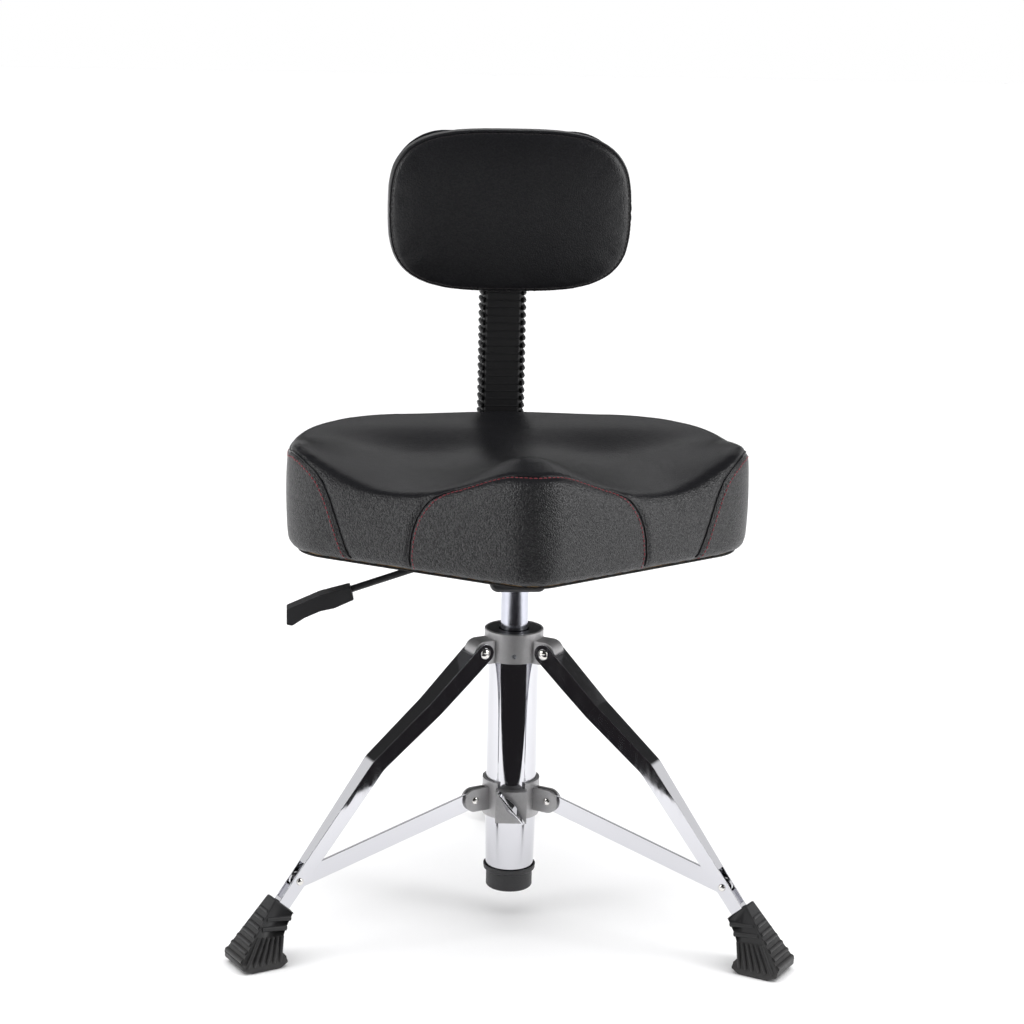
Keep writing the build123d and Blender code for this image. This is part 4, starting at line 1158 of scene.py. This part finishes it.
def toe_ribs(turn, radius):
    """Level ribs across the outer end."""
    lines = []
    for share in np.linspace(0.20, 0.95, 7):
        reach, height = between(TOE_TOP, TOE_FOOT, share)
        reach -= TOE_NORMAL[0] * (radius - PROUD)
        height -= TOE_NORMAL[1] * (radius - PROUD)
        half = flank_half(height) - 3.2
        lines.append([beside_leg(turn, reach, height, half * across) for across in (-1, 0, 1)])
    return lines


def flank_ribs(turn, radius, pairs):
    """Ribs on both flanks, each from a first to a last place in the side view."""
    lines = []
    for side in (-1, 1):
        for first, last in pairs:
            line = []
            for k in range(7):
                reach, height = between(first, last, k / 6)
                line.append(beside_leg(turn, reach, height, side * (flank_half(height) - radius + PROUD)))
            lines.append(line)
    return lines


LEVEL_RIBS = [((259, 46.5), (284.5, 49)), ((264.5, 38), (290.5, 40.5))]
FAN_RIBS = [(between((270, 31), (294.5, 33), k / 5), between((275, 6.5), (310.5, 6.5), k / 5)) for k in range(6)]

# %% Feet
TOE_RIB, LEVEL_RIB, FAN_RIB = 2.9, 3.2, 1.9     # radii
for number, leg_turn in enumerate(LEG_TURNS, start=1):
    node = f"foot_{number}"
    core = softened(node, 2.2, 3, name=f"foot_core_{number}")
    places = coordinates(core.data)
    away = coordinates(core.data, "normal")
    height = places[:, 2] / MM
    depth = LET_IN * eased(height, 4, 11) * (1 - eased(height, 51, 53))
    core.data.vertices.foreach_set("co", (places - away * depth[:, None] * MM).ravel())
    parts = []
    for lines, radius in ((toe_ribs(leg_turn, TOE_RIB), TOE_RIB),
                          (flank_ribs(leg_turn, LEVEL_RIB, LEVEL_RIBS), LEVEL_RIB),
                          (flank_ribs(leg_turn, FAN_RIB, FAN_RIBS), FAN_RIB)):
        parts.append(baked(tubes, guide_mesh(lines), {
            "Radius": radius * MM, "Sides": 12, "Material": finishes["foot_rubber"],
        }, "ribs"))
    piece_from(f"foot_ribs_{number}", joined(parts, f"foot_ribs_{number}"), f"leg_{number}")
print("feet: 3")

# %% [markdown]
# ## Rivet heads
# A rivet's head is a shallow dome with a rounded lip. One tree sets a dome on every point it
# is given, facing along that point's own direction, in whatever radius and height we ask.

# %% Rivets
def studs_tree():
    tree, given, result = new_tree("studs", [
        ("Radius", "NodeSocketFloat", 0.004), ("Height", "NodeSocketFloat", 0.002),
        ("Material", "NodeSocketMaterial", None),
    ])
    facing = linked(tree, "GeometryNodeInputNamedAttribute", {"Name": "facing"}, data_type="FLOAT_VECTOR")
    domes = balls_on(tree, given, given.outputs["Geometry"], facing.outputs["Attribute"],
                     given.outputs["Height"], 28, 16)
    return painted_end(tree, given, result, domes)


studs = studs_tree()


def rivet_heads(name, node, turns, reach, height, half_grip, radius, dome):
    """Domed heads at both ends of the rivets at one place in each of some legs' planes."""
    points, facings = [], []
    for turn in turns:
        for side in (-1, 1):
            points.append(beside_leg(turn, reach, height, side * half_grip))
            facings.append(Vector((-math.sin(turn), math.cos(turn), 0)) * side)
    mesh = bpy.data.meshes.new(name)
    mesh.from_pydata([tuple(p) for p in points], [], [])
    facing = mesh.attributes.new("facing", "FLOAT_VECTOR", "POINT")
    facing.data.foreach_set("vector", np.array([tuple(f) for f in facings], np.float32).ravel())
    heads = baked(studs, mesh, {
        "Radius": radius * MM, "Height": dome * MM, "Material": finishes["bright_steel"],
    }, name)
    piece_from(name, heads, body_of[node], None, [node])


rivet_heads("leg_rivet_heads", "leg_rivets", LEG_TURNS, 40.5, 290, 12.3, 5.6, 2.6)
rivet_heads("brace_rivet_heads", "brace_inner_rivets", LEG_TURNS, 45, 131.5, 4.9, 4.0, 2.0)
for number, leg_turn in enumerate(LEG_TURNS, start=1):
    rivet_heads(f"leg_stub_heads_{number}", f"leg_stub_rivets_{number}", [leg_turn], 245.6, 80, 6.0, 3.8, 1.9)
print("rivet heads: 18")

# %% [markdown]
# ## Floor, light and camera
# The throne stands on a plain pale floor under a broad even light. Black leather and chrome
# show nothing but what they reflect, so the surround is built for them: pale panels low at
# both sides, darkness above, behind and in front, and a dark cloth on the floor in front that
# gives the tube its dark stripe. Two soft lights stand at the front corners. A long low one
# stands behind, and the seat's hollows catch it while the backrest keeps the ridge dark.

# %% Floor
FLOOR_HALF, FLOOR_LEVEL = 14, -0.0004
floor_mesh = mesh_of([(x * FLOOR_HALF, y * FLOOR_HALF, FLOOR_LEVEL)
                      for x, y in ((-1, -1), (1, -1), (1, 1), (-1, 1))], [(0, 1, 2, 3)])
floor = placed("floor", floor_mesh)
pale = Finish("pale_floor", Roughness=0.8, Specular_IOR_Level=0.1)
pale.wire("Base Color", pale.blend(pale.noise(3, 2), (0.91, 0.91, 0.915), (0.93, 0.93, 0.935)))
floor_mesh.materials.append(pale.material)

# %% What the chrome reflects
world = bpy.data.worlds.new("studio")
bpy.context.scene.world = world
world.use_nodes = True
sky = world.node_tree
sky.nodes.clear()
direction = linked(sky, "ShaderNodeTexCoord")
split = linked(sky, "ShaderNodeSeparateXYZ", {0: direction.outputs["Generated"]})


def soft_step(value, low, high):
    """0 below low, 1 above high; with low above high it falls instead."""
    return linked(sky, "ShaderNodeMapRange", {"Value": value, "From Min": low, "From Max": high},
                  interpolation_type="SMOOTHSTEP").outputs["Result"]


def product(a, b):
    return linked(sky, "ShaderNodeMath", {0: a, 1: b}, operation="MULTIPLY").outputs[0]


aside = linked(sky, "ShaderNodeMath", {0: split.outputs["X"]}, operation="ABSOLUTE").outputs[0]
panels = product(product(soft_step(aside, 0.36, 0.56), soft_step(split.outputs["Z"], 0.46, 0.36)),
                 soft_step(split.outputs["Y"], -0.35, -0.1))
tone = linked(sky, "ShaderNodeMapRange", {"Value": panels, "To Min": 0.035, "To Max": 0.95})
around = linked(sky, "ShaderNodeBackground", {"Color": (1, 1, 1, 1)})
sky.links.new(tone.outputs["Result"], around.inputs["Strength"])
plain = linked(sky, "ShaderNodeBackground", {"Color": (1, 1, 1, 1), "Strength": 1.0})
seen = linked(sky, "ShaderNodeLightPath")
either = linked(sky, "ShaderNodeMixShader", {
    0: seen.outputs["Is Camera Ray"], 1: around.outputs["Background"], 2: plain.outputs["Background"],
})
linked(sky, "ShaderNodeOutputWorld", {"Surface": either.outputs["Shader"]})

# %% Lights
def softbox(name, place, target, size, power):
    """Rectangular soft light that faces a target."""
    lamp = bpy.data.lights.new(name, "AREA")
    lamp.shape = "RECTANGLE"
    lamp.size, lamp.size_y = size
    lamp.energy = power
    made = placed(name, lamp)
    made.location = place
    made.rotation_euler = (Vector(target) - Vector(place)).to_track_quat("-Z", "Y").to_euler()
    return made


softbox("left_softbox", (-1.9, -0.7, 1.25), (0, 0, 0.5), (0.8, 1.7), 16)
softbox("right_softbox", (1.8, -1.0, 1.25), (0, 0, 0.5), (0.8, 1.7), 23)
softbox("rear_softbox", (0.1, 1.9, 1.25), (0, 0, 0.5), (2.4, 0.4), 2.3)

overhead = placed("overhead", bpy.data.lights.new("overhead", "SUN"))
overhead.data.energy = 3.6
overhead.data.angle = math.radians(85)
overhead.visible_glossy = False


# %% The dark cloth, which only reflections show
cloth_mesh = mesh_of([(-0.95, -7, 0.001), (0.95, -7, 0.001), (0.95, -0.38, 0.001), (-0.95, -0.38, 0.001)],
                     [(0, 1, 2, 3)])
dark_cloth = placed("dark_cloth", cloth_mesh)
cloth_black = Finish("cloth_black", Roughness=1.0, Base_Color=(0.012, 0.011, 0.012, 1), Specular_IOR_Level=0.0)
cloth_mesh.materials.append(cloth_black.material)
dark_cloth.visible_camera = False
dark_cloth.visible_diffuse = False
dark_cloth.visible_shadow = False

# %% Camera
camera = placed("camera", bpy.data.cameras.new("camera"))
PITCH, ROLL = math.radians(-13.24), math.radians(1.25)
heading = Vector((0.0958, 0.9954, 0)).normalized()
forward = heading * math.cos(PITCH) + Vector((0, 0, 1)) * math.sin(PITCH)
sideways = forward.cross(Vector((0, 0, 1))).normalized()
upwards = sideways.cross(forward)
leaning = upwards * math.cos(ROLL) - sideways * math.sin(ROLL)
camera.matrix_world = Matrix((forward.cross(leaning), leaning, -forward)).transposed().to_4x4()
camera.location = (-0.2404, -2.4965, 1.021)
camera.data.sensor_width = 36
camera.data.lens = 89.5
camera.data.shift_x = -0.0045
bpy.context.scene.camera = camera
bpy.context.scene.view_settings.view_transform = "Standard"
